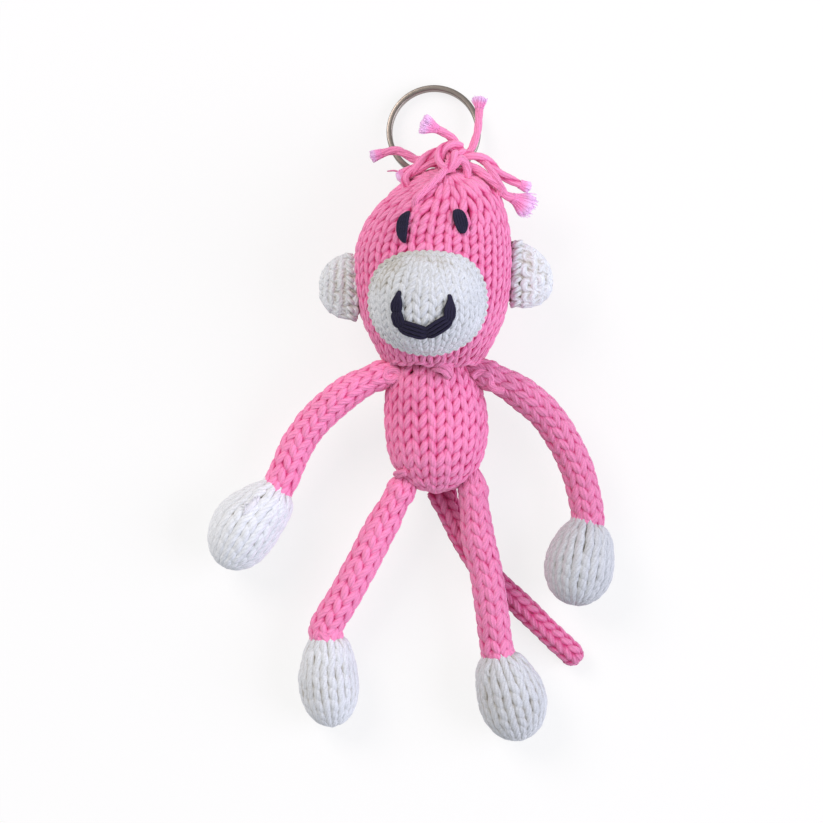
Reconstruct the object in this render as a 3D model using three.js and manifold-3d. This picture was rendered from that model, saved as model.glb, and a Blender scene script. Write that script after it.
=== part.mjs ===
// A knitted monkey on a split ring, lying on its back with its face up.
// Millimetres. +Z is up towards the face, +Y runs from the feet to the ring, +X is the viewer's right.

import * as THREE from 'three';
import { mergeVertices } from 'three/addons/utils/BufferGeometryUtils.js';
import Module from 'manifold-3d';

const wasm = await Module();
wasm.setup();

// Clearances and fabric
const seatGap = 0.3; // between pieces that are sewn together or lie against each other
const restCut = 0.5; // how deep a stuffed form is flattened where it lies on its back
const knitWall = 2.3; // thickness of the knitted fabric
const looseYarn = 2.2; // width of a single loose end of yarn

// Head and body, measured from the neck
const neckWidth = 22;
const neckHeight = 14; // of the neck's middle above the table
const headWidth = 41.8;
const headDepth = 37.6;
const headLength = 51;
const headWaist = 25; // from the neck to where the head is widest
const crownLean = 5.5; // the crown sits this far to the right
const bodyWidth = 27.8;
const bodyDepth = 24.6;
const bodyLength = 34.5;
const bodyWaist = 16;
const bodyPower = 2.3; // the lower body is a little squarer than an ellipse

// Limbs, each sewn on at a ball that sits in a dimple of the body
const ballWidth = 8.4;
const ballSink = 1.4; // how deep the ball sits in the body
const limbRoot = 7.4; // width of the tube beside its ball
const limbWidth = 9;
const limbSwell = 12; // length over which the tube reaches its full width
const mouthWidth = 8.8; // of a hand or foot where the tube enters it
const extremityWaist = 0.5; // a hand or foot is widest half way along
const extremityRise = 1.6; // it widens more gently than the head,
const extremityPower = 2.1; // and its tip is about half an ellipse

// Where the limbs are sewn on: the arms by an angle from the body's side towards its front, the legs by place
const shoulderAngle = 15;
const shoulderDrop = 4.6; // below the neck
const leftHip = { x: -8.6, z: 12.1 };
const rightHip = { x: 10.6, z: 12.6 };

// Routes of the tubes as steps away from the ball's centre: right, towards the ring, up
const leftArmRoute = [
  [0, 0, 0], [-7, -3.4, -0.6], [-15.4, -10.2, -2.8], [-21.6, -18.4, -4.8], [-25.6, -27.6, -6.2],
];
const rightArmRoute = [
  [0, 0, 0], [7.6, -4, -0.6], [16, -11.4, -2.8], [23.2, -24, -5.2], [26.3, -36.4, -6.6],
];
const leftLegRoute = [[0, 0, 0], [-5, -9.2, -0.6], [-13.8, -25.8, -1.7], [-19.6, -35.6, -2.4]];
const rightLegRoute = [[0, 0, 0], [1.2, -11.4, -0.4], [3.9, -24.2, -1], [6, -40.4, -1.8]];

// Hands and feet: heading is in degrees from straight down towards +X, dip is towards the table, and lean is how
// far the fullest part hangs to the right of the wrist
const leftHand = { width: 17.6, length: 24.2, heading: -30, dip: 0, lean: -1.6 };
const rightHand = { width: 18, length: 21.4, heading: -7, dip: 0, lean: -0.5 };
const leftFoot = { width: 16, length: 23.8, heading: 5, dip: 8, lean: -0.6 };
const rightFoot = { width: 18.2, length: 23.6, heading: 13, dip: 9, lean: 1 };
const wristLength = 2.6; // the tube's last stretch runs straight into the hand or foot

// Tail
const tailWidth = 6.5;
const tailTip = 6.2;
const tailBall = 6.5;
const tailSink = 0.8;
const tailX = 2.1;
const tailRoute = [[0, 0, 0], [3.4, -7.8, 0], [10.2, -19.6, 0], [21.8, -31, 0], [36.2, -45, 0]];

// Muzzle, ears, eyes and mouth
const muzzleWidth = 30.8;
const muzzleHeight = 28.2;
const muzzleRise = 6.9; // how far it stands out in front of the head
const muzzleSink = 6.4; // how far behind the head's front its widest section lies
const muzzleX = -1.5;
const muzzleY = 14.7;
const muzzleWall = 2;
const earHeight = 17.4;
const earThickness = 6;
const earRoot = 4.2; // width of the sewn edge
const earSink = 0.9;
const earDish = { out: 4.4, width: 6.4, height: 10.5, depth: 1.1 }; // a shallow hollow in its front
const earHinges = {
  left: { side: -1, y: 19.4, reach: 8.6, droop: 0 },
  right: { side: 1, y: 22.8, reach: 9.8, droop: 2 }, // its outermost point hangs this much lower
};
const leftEye = { x: -7.7, y: 34.5, width: 3.4, height: 8.8, tilt: 4 };
const rightEye = { x: 7, y: 36, width: 3.7, height: 7.6, tilt: -6 };
const eyeThickness = 1.4;
const mouthYarn = 2.4;
const mouthRoute = [[-7.4, 2.6], [-8, -3.2], [-4.6, -6.6], [-1, -7.6], [4.8, -4.8], [5.5, 1.5]];

// Split ring and the yarn loop that holds it
const ringOuter = 25;
const wireWidth = 1.5; // across the ring
const wireHeight = 1.15; // each turn, along the ring's axis
const turnGap = 0.15; // between the two turns
const wireChamfer = 0.3;
const ringStart = 20; // degrees at which the lower turn starts
const ringEnd = 695; // degrees at which the upper turn ends
const climbStart = 340; // the wire climbs from the lower turn to the upper one between these
const climbEnd = 380;
const ringStep = 9; // degrees between sections of the wire
const ringFacing = 70; // degrees below the ring's +X at which the loop holds it
const loopX = 4.2;
const loopBack = 1.2; // the wire passes this far below the crown
const loopHeight = 5.3; // of the wire in the loop above the table
const loopGap = 0.5; // between the loop and the ring
const loopClear = 0.85; // between the loop's ends and the head, so that the loop can swing
const loopSlack = 0.2; // the loop is this much wider than it needs to be
const loopBow = 1.8; // its upper end comes this far forwards over the wire
const ringRest = 0.15; // between the ring's lower edge and the table at its far side

// Topknot: widths, and routes as steps away from the top of the crown
const foldWidth = 3.4;
const knotRoute = [
  [2.2, 3.9, 5.6], [-0.6, 4.7, 6.6], [-3.6, 3.1, 6.8], [-4.5, 0.4, 7.2], [-3, -2.6, 8.4], [-0.3, -1, 8.8],
  [1.8, 2.1, 7.8],
];
const hairRoutes = {
  hair_fold: {
    route: [[-3, 4, 2.2], [-6.6, 1.9, 3], [-10.4, -0.9, 3.8], [-13, -3.9, 3.2]],
    width: foldWidth,
    tuft: 3.4,
  },
  hair_left: {
    route: [[-5.6, 1.4, 0], [-9.6, 1.5, -2.8], [-12.8, 3.2, -3.6], [-15.9, 4.1, -4.2], [-20.2, 3, -5]],
    tuft: 3,
  },
  hair_front: {
    route: [[-6, -4.5, 6.8], [-7.8, -5.6, 8.9], [-9, -7.2, 10.8], [-11.4, -10.8, 12.2]],
    width: 2,
    tuft: 1.8,
  },
  hair_ring: {
    route: [[0.7, 5.2, 3], [-1.4, 7.2, 3.8], [-4.2, 9.1, 5], [-7.2, 10.1, 5]],
    tuft: 3.9,
  },
  hair_top: {
    route: [[4.6, 4.4, 3], [6, 8.4, 2.6], [6.5, 12.9, 1.2], [6.7, 18.2, -0.4]],
    tuft: 3.2,
  },
  hair_right: {
    route: [[3.8, 1.5, 4.4], [6.8, 2.1, 4.4], [10.2, 1, 3.4], [13.2, -2.2, 1.4], [20, -5.6, -1.4]],
    tuft: 2.8,
  },
  hair_side: {
    route: [[5, -2.5, 4.2], [7.6, -4.4, 4.6], [12.4, -7.4, 2.4], [16.2, -8.8, 0], [20.6, -11.4, -2]],
    tuft: 5.6,
  },
  hair_short: {
    route: [[9.2, -0.4, 5.6], [10.5, -1.6, 6.9], [11.8, -2.9, 8]],
    width: 1.8,
    tuft: 1.8,
  },
};

// Knots that show where the sewing yarn was fastened off
const neckKnot = { x: 2.6, y: -3.6, width: 2.2, across: 3.8 };
const hipKnot = { x: -9.2, y: -28.8, width: 1.5, across: 2.6 };

const pink = new THREE.MeshStandardMaterial({ color: '#f0599c', roughness: 0.92, metalness: 0 });
const cream = new THREE.MeshStandardMaterial({ color: '#e3dfd3', roughness: 0.92, metalness: 0 });
const navy = new THREE.MeshStandardMaterial({ color: '#1f1e2c', roughness: 0.9, metalness: 0 });
const white = new THREE.MeshStandardMaterial({ color: '#f4f3f0', roughness: 1, metalness: 0 });
const steel = new THREE.MeshStandardMaterial({ color: '#9a9189', roughness: 0.3, metalness: 1 });

const monkey = new THREE.Group();
const radian = Math.PI / 180;
const upward = new THREE.Vector3(0, 0, 1);

const mix = (a, b, share) => a + (b - a) * share;
const clamp = (value, low, high) => Math.min(Math.max(value, low), high);
const smooth = (value) => clamp(value, 0, 1) ** 2 * (3 - 2 * clamp(value, 0, 1));
const vector = (list) => new THREE.Vector3(...list);
const count = (n) => Array.from({ length: n }, (_, i) => i);

function smoothCurve(route) {
  const points = route.map((place) => (place.isVector3 ? place : vector(place)));
  return new THREE.CatmullRomCurve3(points, false, 'catmullrom', 0.5);
}

function addPiece(name, geometry, material) {
  const mesh = new THREE.Mesh(geometry, material);
  mesh.name = name;
  monkey.add(mesh);
}

// Joins and cuts

function toSolid(geometry) {
  const bare = new THREE.BufferGeometry();
  bare.setAttribute('position', geometry.getAttribute('position').clone());
  bare.setIndex(geometry.getIndex() ? geometry.getIndex().clone() : null);
  const merged = mergeVertices(bare, 1e-5);
  return new wasm.Manifold(new wasm.Mesh({
    numProp: 3,
    vertProperties: new Float32Array(merged.getAttribute('position').array),
    triVerts: new Uint32Array(merged.getIndex().array),
  }));
}

function toGeometry(solid) {
  const mesh = solid.getMesh();
  const geometry = new THREE.BufferGeometry();
  geometry.setAttribute('position', new THREE.BufferAttribute(new Float32Array(mesh.vertProperties), 3));
  geometry.setIndex(new THREE.BufferAttribute(new Uint32Array(mesh.triVerts), 1));
  return geometry;
}

const cut = (geometry, ...tools) => toGeometry(
  tools.reduce((solid, tool) => solid.subtract(toSolid(tool)), toSolid(geometry)),
);
const join = (geometry, other) => toGeometry(toSolid(geometry).add(toSolid(other)));

function slab(centre, size) {
  const box = new THREE.BoxGeometry(size, size, size);
  box.translate(centre.x, centre.y, centre.z);
  return box;
}

// Cuts a form flat where it lies on the table
function layFlat(geometry) {
  const reach = 400;
  return cut(geometry, slab(new THREE.Vector3(0, 0, -reach / 2), reach));
}

function ball(centre, radius, sides = 20) {
  const sphere = new THREE.SphereGeometry(radius, sides, sides / 2);
  sphere.translate(centre.x, centre.y, centre.z);
  return sphere;
}

// Skins closed rings of equal counts, or single points for poles, into one surface that faces out
function skin(rings) {
  const points = [];
  const faces = [];
  const starts = rings.map((ring) => {
    points.push(...ring);
    return points.length - ring.length;
  });
  const sides = Math.max(...rings.map((ring) => ring.length));
  const pointOf = (ring, side) => starts[ring] + (rings[ring].length > 1 ? side % sides : 0);
  for (let i = 0; i + 1 < rings.length; i += 1) {
    for (const side of count(sides)) {
      const [a, b] = [pointOf(i, side), pointOf(i, side + 1)];
      const [c, d] = [pointOf(i + 1, side), pointOf(i + 1, side + 1)];
      if (a !== b) faces.push([a, b, d]);
      if (c !== d) faces.push([a, d, c]);
    }
  }
  const wedge = ([a, b, c]) => points[a].dot(points[b].clone().cross(points[c]));
  const volume = faces.reduce((sum, face) => sum + wedge(face), 0);
  const geometry = new THREE.BufferGeometry().setFromPoints(points);
  geometry.setIndex(faces.flatMap(([a, b, c]) => (volume > 0 ? [a, b, c] : [a, c, b])));
  return geometry;
}

// Stuffed forms

// Radius at a distance from the mouth: it widens steeply, is fullest at the waist and closes in a round end
function bulbRadius(form, distance, inset) {
  if (distance < form.waist) {
    const share = 1 - distance / form.waist;
    return form.mouth + (form.radius - form.mouth) * (1 - share ** form.rise) ** (1 / form.rise) - inset;
  }
  const share = clamp((distance - form.waist) / (form.length - inset - form.waist), 0, 1);
  return (form.radius - inset) * (1 - share ** form.power) ** (1 / form.power);
}

// Half the form's depth there, smaller than its radius where the form lies on the table
function bulbDepth(form, distance, inset) {
  const { flatness } = form.frame(distance);
  if (distance < form.waist) return bulbRadius(form, distance, 0) * flatness - inset;
  const fullest = form.radius - inset;
  return (bulbRadius(form, distance, inset) / fullest) * (form.radius * flatness - inset);
}

// Distances of the rings, close together where the form turns: from the mouth to just below the pole
function bulbSteps(form, inset, rings) {
  const lower = Math.round(rings * 0.45);
  const upper = rings - lower;
  const rise = count(lower).map((i) => form.waist * (1 - Math.cos((i / lower) * 90 * radian)));
  const close = count(upper).map((i) => form.waist
    + (form.length - inset - form.waist) * Math.sin((i / upper) * 90 * radian));
  return [...rise, ...close];
}

function bulbRing(form, distance, inset, sides) {
  const { centre, across, up } = form.frame(distance);
  const radius = bulbRadius(form, distance, inset);
  const depth = bulbDepth(form, distance, inset);
  return count(sides).map((i) => {
    const angle = (i / sides) * 360 * radian;
    return centre.clone()
      .addScaledVector(across, radius * Math.cos(angle))
      .addScaledVector(up, depth * Math.sin(angle));
  });
}

function bulbRings(form, inset, sides, rings) {
  const pole = [form.frame(form.length - inset).centre];
  return [...bulbSteps(form, inset, rings).map((step) => bulbRing(form, step, inset, sides)), pole];
}

const innerRings = (rings) => Math.round(rings * 0.6);

// The knitted cover: outside, mouth and inside in one surface
function bulbCover(form, { sides, rings }) {
  const outside = bulbRings(form, 0, sides, rings).reverse();
  return skin([...outside, ...bulbRings(form, knitWall, sides, innerRings(rings))]);
}

// The form closed at its mouth
function bulbSolid(form, inset, sides, rings) {
  return skin([[form.frame(0).centre], ...bulbRings(form, inset, sides, rings)]);
}

// The filling has the rings of the cover's inside, so that their facets keep the gap
function bulbFilling(form, { sides, rings }) {
  return bulbSolid(form, knitWall + seatGap, sides / 2, innerRings(rings));
}

// Head or body: the section's back follows the table and rises to the neck
function trunk(form, way) {
  const flat = form.depth / (2 * form.radius);
  return {
    ...form,
    frame(distance) {
      const share = clamp(1 - distance / form.waist, 0, 1);
      const fullness = Math.sqrt(1 - share ** 2);
      const flatness = mix(1, flat, smooth(distance / form.waist));
      const back = mix(neckHeight - form.mouth, -restCut, fullness);
      const middle = back + bulbRadius(form, Math.min(distance, form.waist), 0) * flatness;
      const beyond = Math.max(distance - form.waist, 0) / (form.length - form.waist);
      return {
        centre: new THREE.Vector3(form.lean * beyond ** 2, way * (seatGap / 2 + distance), middle),
        across: new THREE.Vector3(1, 0, 0),
        up: upward,
        flatness,
      };
    },
  };
}

const head = trunk({
  mouth: neckWidth / 2,
  radius: headWidth / 2,
  depth: headDepth,
  waist: headWaist,
  length: headLength,
  rise: 2,
  power: 2,
  lean: crownLean,
}, 1);
const body = trunk({
  mouth: neckWidth / 2,
  radius: bodyWidth / 2,
  depth: bodyDepth,
  waist: bodyWaist,
  length: bodyLength,
  rise: 2,
  power: bodyPower,
  lean: 0,
}, -1);

// A point on a form at a distance from its mouth and an angle from its right towards its front, lifted off it
function pointOn(form, distance, angle, lift = 0) {
  const at = (d, a) => {
    const { centre, across, up, flatness } = form.frame(d);
    const radius = bulbRadius(form, d, 0);
    return centre.clone()
      .addScaledVector(across, radius * Math.cos(a * radian))
      .addScaledVector(up, radius * flatness * Math.sin(a * radian));
  };
  const point = at(distance, angle);
  const along = at(distance + 0.01, angle).sub(at(distance - 0.01, angle));
  const round = at(distance, angle + 0.1).sub(at(distance, angle - 0.1));
  const normal = along.cross(round).normalize();
  if (normal.dot(point.clone().sub(form.frame(distance).centre)) < 0) normal.negate();
  return point.addScaledVector(normal, lift);
}

// The same for a point given by its place in the front view
function frontOf(form, x, y, lift) {
  const distance = Math.abs(y) - seatGap / 2;
  const { centre } = form.frame(distance);
  const share = clamp((x - centre.x) / bulbRadius(form, distance, 0), -0.98, 0.98);
  return pointOn(form, distance, Math.acos(share) / radian, lift);
}

// Points spread over a form, each with the direction away from it
function spread(form) {
  const places = [...bulbSteps(form, 0, 60)].slice(1);
  return places.flatMap((distance) => count(72).map((i) => {
    const point = pointOn(form, distance, i * 5);
    return { point, away: pointOn(form, distance, i * 5, 1).sub(point) };
  }));
}

function clearance(points, place) {
  const nearest = points.reduce((best, at) => (
    at.point.distanceToSquared(place) < best.point.distanceToSquared(place) ? at : best));
  return { nearest, depth: place.clone().sub(nearest.point).dot(nearest.away) };
}

// Moves a place out until it is a given distance clear of the form
function keepOff(points, place, distance) {
  const moved = place.clone();
  for (const _ of count(3)) {
    const { nearest, depth } = clearance(points, moved);
    if (depth < distance) moved.addScaledVector(nearest.away, distance - depth);
  }
  return moved;
}

const headSkin = spread(head);
const bodySkin = spread(body);

// The place below the body, at its own place across and up, that lies a given distance off it
function seatedBelow({ x, z }, distance) {
  let [far, near] = [-2 * bodyLength, -bodyLength / 2];
  for (const _ of count(30)) {
    const half = (far + near) / 2;
    if (clearance(bodySkin, new THREE.Vector3(x, half, z)).depth > distance) far = half;
    else near = half;
  }
  return new THREE.Vector3(x, far, z);
}

const headFacets = { sides: 32, rings: 20 };
const bodyFacets = { sides: 26, rings: 16 };
const handFacets = { sides: 16, rings: 10 };
const headBlock = bulbSolid(head, -seatGap, headFacets.sides, headFacets.rings);

// Tubes of changing width

// Radius and place of each ring of a tube; a tube starts at a ball or a round end, and ends round or square
function tube({ route, radiusAt, rootBall = 0, endRound = true, sides = 12, steps = 14 }) {
  const curve = smoothCurve(route);
  const length = curve.getLength();
  const startCap = rootBall || radiusAt(0);
  const endCap = endRound ? radiusAt(1) : 0;
  const turn = (n) => count(n).map((i) => 1 - Math.cos(((i + 1) / (n + 1)) * 90 * radian));
  const places = [
    ...turn(3).map((share) => -startCap + share * startCap),
    ...count(steps + 1).map((i) => (i / steps) * (length - endCap)),
    ...turn(endRound ? 3 : 0).reverse().map((share) => length - share * endCap),
  ];
  const first = curve.getPointAt(0);
  const firstTangent = curve.getTangentAt(0);
  let across = firstTangent.clone().cross(upward).normalize();
  const rings = places.map((place) => {
    const share = clamp(place / length, 0, 1);
    const tangent = curve.getTangentAt(share);
    const centre = place < 0 ? first.clone().addScaledVector(firstTangent, place) : curve.getPointAt(share);
    across = across.clone().addScaledVector(tangent, -across.dot(tangent)).normalize();
    const up = across.clone().cross(tangent);
    const fromBall = Math.sqrt(Math.max(startCap ** 2 - place ** 2, 0));
    const fromEnd = Math.sqrt(Math.max(endCap ** 2 - Math.max(place - (length - endCap), 0) ** 2, 0));
    let radius = place < 0 ? fromBall : Math.max(rootBall ? fromBall : 0, radiusAt(share));
    if (endRound && place > length - endCap) radius = fromEnd;
    return count(sides).map((i) => {
      const angle = (i / sides) * 360 * radian;
      return centre.clone()
        .addScaledVector(across, radius * Math.cos(angle))
        .addScaledVector(up, radius * Math.sin(angle));
    });
  });
  const startPole = first.clone().addScaledVector(firstTangent, -startCap);
  return skin([[startPole], ...rings, [curve.getPointAt(1)]]);
}

const steady = (width) => () => width / 2;
const shifted = (origin, route) => route.map((step) => vector(step).add(origin));

// Head, with its filling

const lowerFace = new THREE.Vector3(muzzleX, muzzleY, frontOf(head, muzzleX, muzzleY, 0).z - muzzleSink);
for (const hinge of Object.values(earHinges)) {
  const edge = pointOn(head, hinge.y - seatGap / 2, hinge.side > 0 ? 0 : 180, earRoot / 2 - earSink);
  hinge.centre = new THREE.Vector3(edge.x, hinge.y, edge.z);
}

// The sewn edge of an ear: a straight round-ended roll along its hinge line
function earRoll({ centre }, extra) {
  const roll = new THREE.CapsuleGeometry(earRoot / 2 + extra, earHeight - earRoot, 4, 12);
  roll.translate(centre.x, centre.y, centre.z);
  return roll;
}

const grooves = Object.values(earHinges).map((hinge) => earRoll(hinge, seatGap));
addPiece('head_knit', layFlat(cut(bulbCover(head, headFacets), ...grooves)), pink);
addPiece('head_stuffing', bulbFilling(head, headFacets), white);

// Muzzle: a domed patch sewn over the lower face, with a little filling behind it

function dome(inset, sides) {
  const sphere = new THREE.SphereGeometry(1, sides, sides / 2);
  sphere.rotateX(90 * radian);
  sphere.scale(muzzleWidth / 2 - inset, muzzleHeight / 2 - inset, muzzleRise + muzzleSink - inset);
  sphere.translate(lowerFace.x, lowerFace.y, lowerFace.z);
  return sphere;
}

addPiece('muzzle_knit', cut(dome(0, 28), dome(muzzleWall, 20), headBlock), cream);
addPiece('muzzle_stuffing', cut(dome(muzzleWall + seatGap, 16), headBlock), white);

// Height of the muzzle's front at a place given from its centre, lifted along the surface's normal
function onMuzzle([x, y], lift) {
  const [a, b, c] = [muzzleWidth / 2, muzzleHeight / 2, muzzleRise + muzzleSink];
  const z = c * Math.sqrt(1 - (x / a) ** 2 - (y / b) ** 2);
  const normal = new THREE.Vector3(x / a ** 2, y / b ** 2, z / c ** 2).normalize();
  return new THREE.Vector3(x, y, z).addScaledVector(normal, lift).add(lowerFace);
}

const mouthLine = smoothCurve(mouthRoute.map(([x, y]) => new THREE.Vector3(x, y, 0)));
addPiece('mouth_yarn', tube({
  route: mouthLine.getSpacedPoints(14).map(({ x, y }) => onMuzzle([x, y], mouthYarn / 2 + seatGap)),
  radiusAt: steady(mouthYarn), sides: 8, steps: 20,
}), navy);

// Eyes: flat ovals of satin stitch that follow the head
for (const [name, eye] of Object.entries({ left_eye: leftEye, right_eye: rightEye })) {
  const slant = Math.tan(eye.tilt * radian);
  const levels = [1, 0].flatMap((level) => count(6).map((i) => [level, (level ? i : 5 - i) / 5]));
  const rings = levels.map(([level, out]) => (out === 0 ? [0] : count(12)).map((i) => {
    const angle = i * 30 * radian;
    const up = out * (eye.height / 2) * Math.sin(angle);
    const x = eye.x + out * (eye.width / 2) * Math.cos(angle) + up * slant;
    const full = Math.sqrt(1 - out ** 2 * 0.75);
    return frontOf(head, x, eye.y + up, seatGap + level * eyeThickness * full);
  }));
  addPiece(name, skin(rings), navy);
}

// Ears: a cupped half round that folds about its sewn edge
for (const [name, hinge] of Object.entries(earHinges)) {
  const { reach, droop } = hinge;
  const blade = new THREE.SphereGeometry(1, 24, 12);
  blade.rotateX(90 * radian);
  blade.scale(reach, earHeight / 2, earThickness / 2);
  const front = (earThickness / 2) * Math.sqrt(1 - (earDish.out / reach) ** 2);
  const hollow = new THREE.SphereGeometry(1, 20, 10);
  hollow.rotateX(90 * radian);
  hollow.scale(earDish.width / 2, earDish.height / 2, 2 * earDish.depth);
  hollow.translate(hinge.side * earDish.out, 0, front + earDish.depth);
  const innerHalf = slab(new THREE.Vector3(-hinge.side * earHeight, 0, 0), 2 * earHeight);
  const leaf = cut(blade, innerHalf, hollow);
  leaf.applyMatrix4(new THREE.Matrix4().makeShear((-hinge.side * droop) / reach, 0, 0, 0, 0, 0));
  leaf.translate(hinge.centre.x, hinge.centre.y, hinge.centre.z);
  addPiece(`${name}_ear`, join(leaf, earRoll(hinge, 0)), cream);
}

// Body, limbs and tail

const seat = ballWidth / 2 - ballSink;
const shoulders = {
  left: pointOn(body, shoulderDrop, 180 - shoulderAngle, seat),
  right: pointOn(body, shoulderDrop, shoulderAngle, seat),
};

const hips = { left: seatedBelow(leftHip, seat), right: seatedBelow(rightHip, seat) };
const tailRoot = seatedBelow({ x: tailX, z: tailWidth / 2 }, tailBall / 2 - tailSink);

const limbRadius = (share, length) => mix(limbRoot, limbWidth, smooth((share * length) / limbSwell)) / 2;

function addLimb(name, endName, centre, route, end) {
  const heading = (end.heading - 90) * radian;
  const dip = end.dip * radian;
  const level = new THREE.Vector3(Math.cos(heading), Math.sin(heading), 0);
  const axis = level.multiplyScalar(Math.cos(dip)).addScaledVector(upward, -Math.sin(dip));
  const points = shifted(centre, route);
  points.push(points.at(-1).clone().addScaledVector(axis, wristLength));
  const length = smoothCurve(points).getLength();
  addPiece(`${name}_knit`, tube({
    route: points,
    radiusAt: (share) => limbRadius(share, length),
    rootBall: ballWidth / 2,
    endRound: false,
    steps: 12,
  }), pink);
  const across = axis.clone().cross(upward).normalize();
  const start = points.at(-1).clone().addScaledVector(axis, seatGap);
  const up = across.clone().cross(axis);
  const waist = end.length * extremityWaist;
  const form = {
    mouth: mouthWidth / 2,
    radius: end.width / 2,
    waist,
    length: end.length,
    rise: extremityRise,
    power: extremityPower,
    frame(distance) {
      const aside = -end.lean * smooth(distance / waist);
      const centre = start.clone().addScaledVector(axis, distance).addScaledVector(across, aside);
      return { centre, across, up, flatness: 1 };
    },
  };
  addPiece(`${endName}_knit`, layFlat(bulbCover(form, handFacets)), cream);
  addPiece(`${endName}_stuffing`, bulbFilling(form, handFacets), white);
}

addLimb('left_arm', 'left_hand', shoulders.left, leftArmRoute, leftHand);
addLimb('right_arm', 'right_hand', shoulders.right, rightArmRoute, rightHand);
addLimb('left_leg', 'left_foot', hips.left, leftLegRoute, leftFoot);
addLimb('right_leg', 'right_foot', hips.right, rightLegRoute, rightFoot);
addPiece('tail_knit', tube({
  route: shifted(tailRoot, tailRoute),
  radiusAt: (share) => mix(tailWidth, tailTip, share) / 2,
  rootBall: tailBall / 2,
  steps: 16,
}), pink);

const dimple = (centre, width) => ball(centre, width / 2 + seatGap);
const limbCentres = [...Object.values(shoulders), ...Object.values(hips)];
const dimples = limbCentres.map((centre) => dimple(centre, ballWidth));
dimples.push(dimple(tailRoot, tailBall));
addPiece('body_knit', layFlat(cut(bulbCover(body, bodyFacets), ...dimples)), pink);
addPiece('body_stuffing', bulbFilling(body, bodyFacets), white);

// A knot: a short round loop of yarn lying on the body
function addKnot(name, { x, y, width, across }) {
  const radius = across / 2;
  const around = count(5).map((i) => i * 72 * radian);
  const route = around.map((angle) => frontOf(
    body,
    x + Math.cos(angle) * radius,
    y + Math.sin(angle) * radius,
    width / 2 + seatGap,
  ));
  addPiece(name, tube({ route, radiusAt: steady(width), sides: 8, steps: 8 }), pink);
}

addKnot('neck_knot', neckKnot);
addKnot('hip_knot', hipKnot);

// Topknot

const crown = head.frame(headLength).centre;

// A strand's route from the crown, kept clear of the head it lies on
function overHead(route, radius) {
  const free = smoothCurve(shifted(crown, route));
  return free.getSpacedPoints(10).map((place) => keepOff(headSkin, place, radius + seatGap));
}

addPiece('topknot_loop', tube({
  route: overHead(knotRoute, foldWidth / 2), radiusAt: steady(foldWidth), sides: 8, steps: 16,
}), pink);
for (const [name, { route, width = looseYarn, tuft }] of Object.entries(hairRoutes)) {
  const radiusAt = (share) => mix(width, tuft, smooth((share - 0.7) / 0.3)) / 2;
  addPiece(name, tube({ route: overHead(route, width / 2), radiusAt, sides: 6, steps: 9 }), pink);
}

// Split ring and its loop

const holdAngle = -ringFacing * radian;
const wireRadius = (ringOuter - wireWidth) / 2;
const stackHeight = 2 * wireHeight + turnGap;
const hold = new THREE.Vector3(loopX, crown.y - loopBack, loopHeight);
const outward = new THREE.Vector3(Math.cos(holdAngle), Math.sin(holdAngle), 0);

// The ring leans on the table at its far side
const farHeight = stackHeight / 2 + ringRest;
const lean = Math.asin((loopHeight - farHeight) / (2 * wireRadius));
const ringAcross = outward.clone().cross(upward).negate();
const ringOut = outward.clone().multiplyScalar(Math.cos(lean)).addScaledVector(upward, Math.sin(lean));
const ringUp = ringOut.clone().cross(ringAcross);
const ringCentre = hold.clone().addScaledVector(ringOut, -wireRadius);

// Two turns of flat wire: the lower one climbs to the upper one between the two square ends
function ringWire() {
  const [w, h, c] = [wireWidth / 2, wireHeight / 2, wireChamfer];
  const corner = [[w, h - c], [w - c, h]];
  const upper = [...corner, ...corner.map(([out, up]) => [-out, up]).reverse()];
  const outline = [...upper, ...upper.map(([out, up]) => [out, -up]).reverse()];
  const steps = Math.round((ringEnd - ringStart) / ringStep);
  const rings = count(steps + 1).map((i) => {
    const turn = mix(ringStart, ringEnd, i / steps);
    const climb = smooth((turn - climbStart) / (climbEnd - climbStart));
    const height = mix(-1, 1, climb) * (wireHeight + turnGap) / 2;
    const angle = turn * radian;
    return outline.map(([out, up]) => ringCentre.clone()
      .addScaledVector(ringOut, Math.cos(angle) * (wireRadius + out))
      .addScaledVector(ringAcross, Math.sin(angle) * (wireRadius + out))
      .addScaledVector(ringUp, height + up));
  });
  const middle = (ring) => new THREE.Box3().setFromPoints(ring).getCenter(new THREE.Vector3());
  return skin([[middle(rings[0])], ...rings, [middle(rings.at(-1))]]);
}

addPiece('split_ring', ringWire(), steel);

// The loop goes half round the wire on an ellipse, and both ends rise into the crown
const loopOut = wireWidth / 2 + loopGap + looseYarn / 2 + loopSlack;
const loopDown = stackHeight / 2 + loopGap + looseYarn / 2;
const underWire = [0, 40, 90, 140, 180].map((angle) => [
  loopOut * Math.cos(angle * radian),
  -loopDown * Math.sin(angle * radian),
]);
const loopShape = [[loopOut, 5.5], ...underWire, [-loopOut + loopSlack, 4.2], [-loopOut + loopBow, 7.8]];
const loopRoute = loopShape.map(([out, up]) => (
  hold.clone().addScaledVector(outward, out).addScaledVector(upward, up)));
const aroundHead = bulbSolid(head, -loopClear, headFacets.sides, headFacets.rings);
const loopTube = tube({ route: loopRoute, radiusAt: steady(looseYarn), sides: 10, steps: 22 });
addPiece('hanging_loop', cut(loopTube, aroundHead), pink);

// The origin is under the middle of the monkey, on the table
const box = new THREE.Box3().setFromObject(monkey);
const middle = box.getCenter(new THREE.Vector3());
monkey.position.set(-middle.x, -middle.y, -box.min.z);
monkey.updateMatrixWorld(true);

export default monkey;
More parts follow.
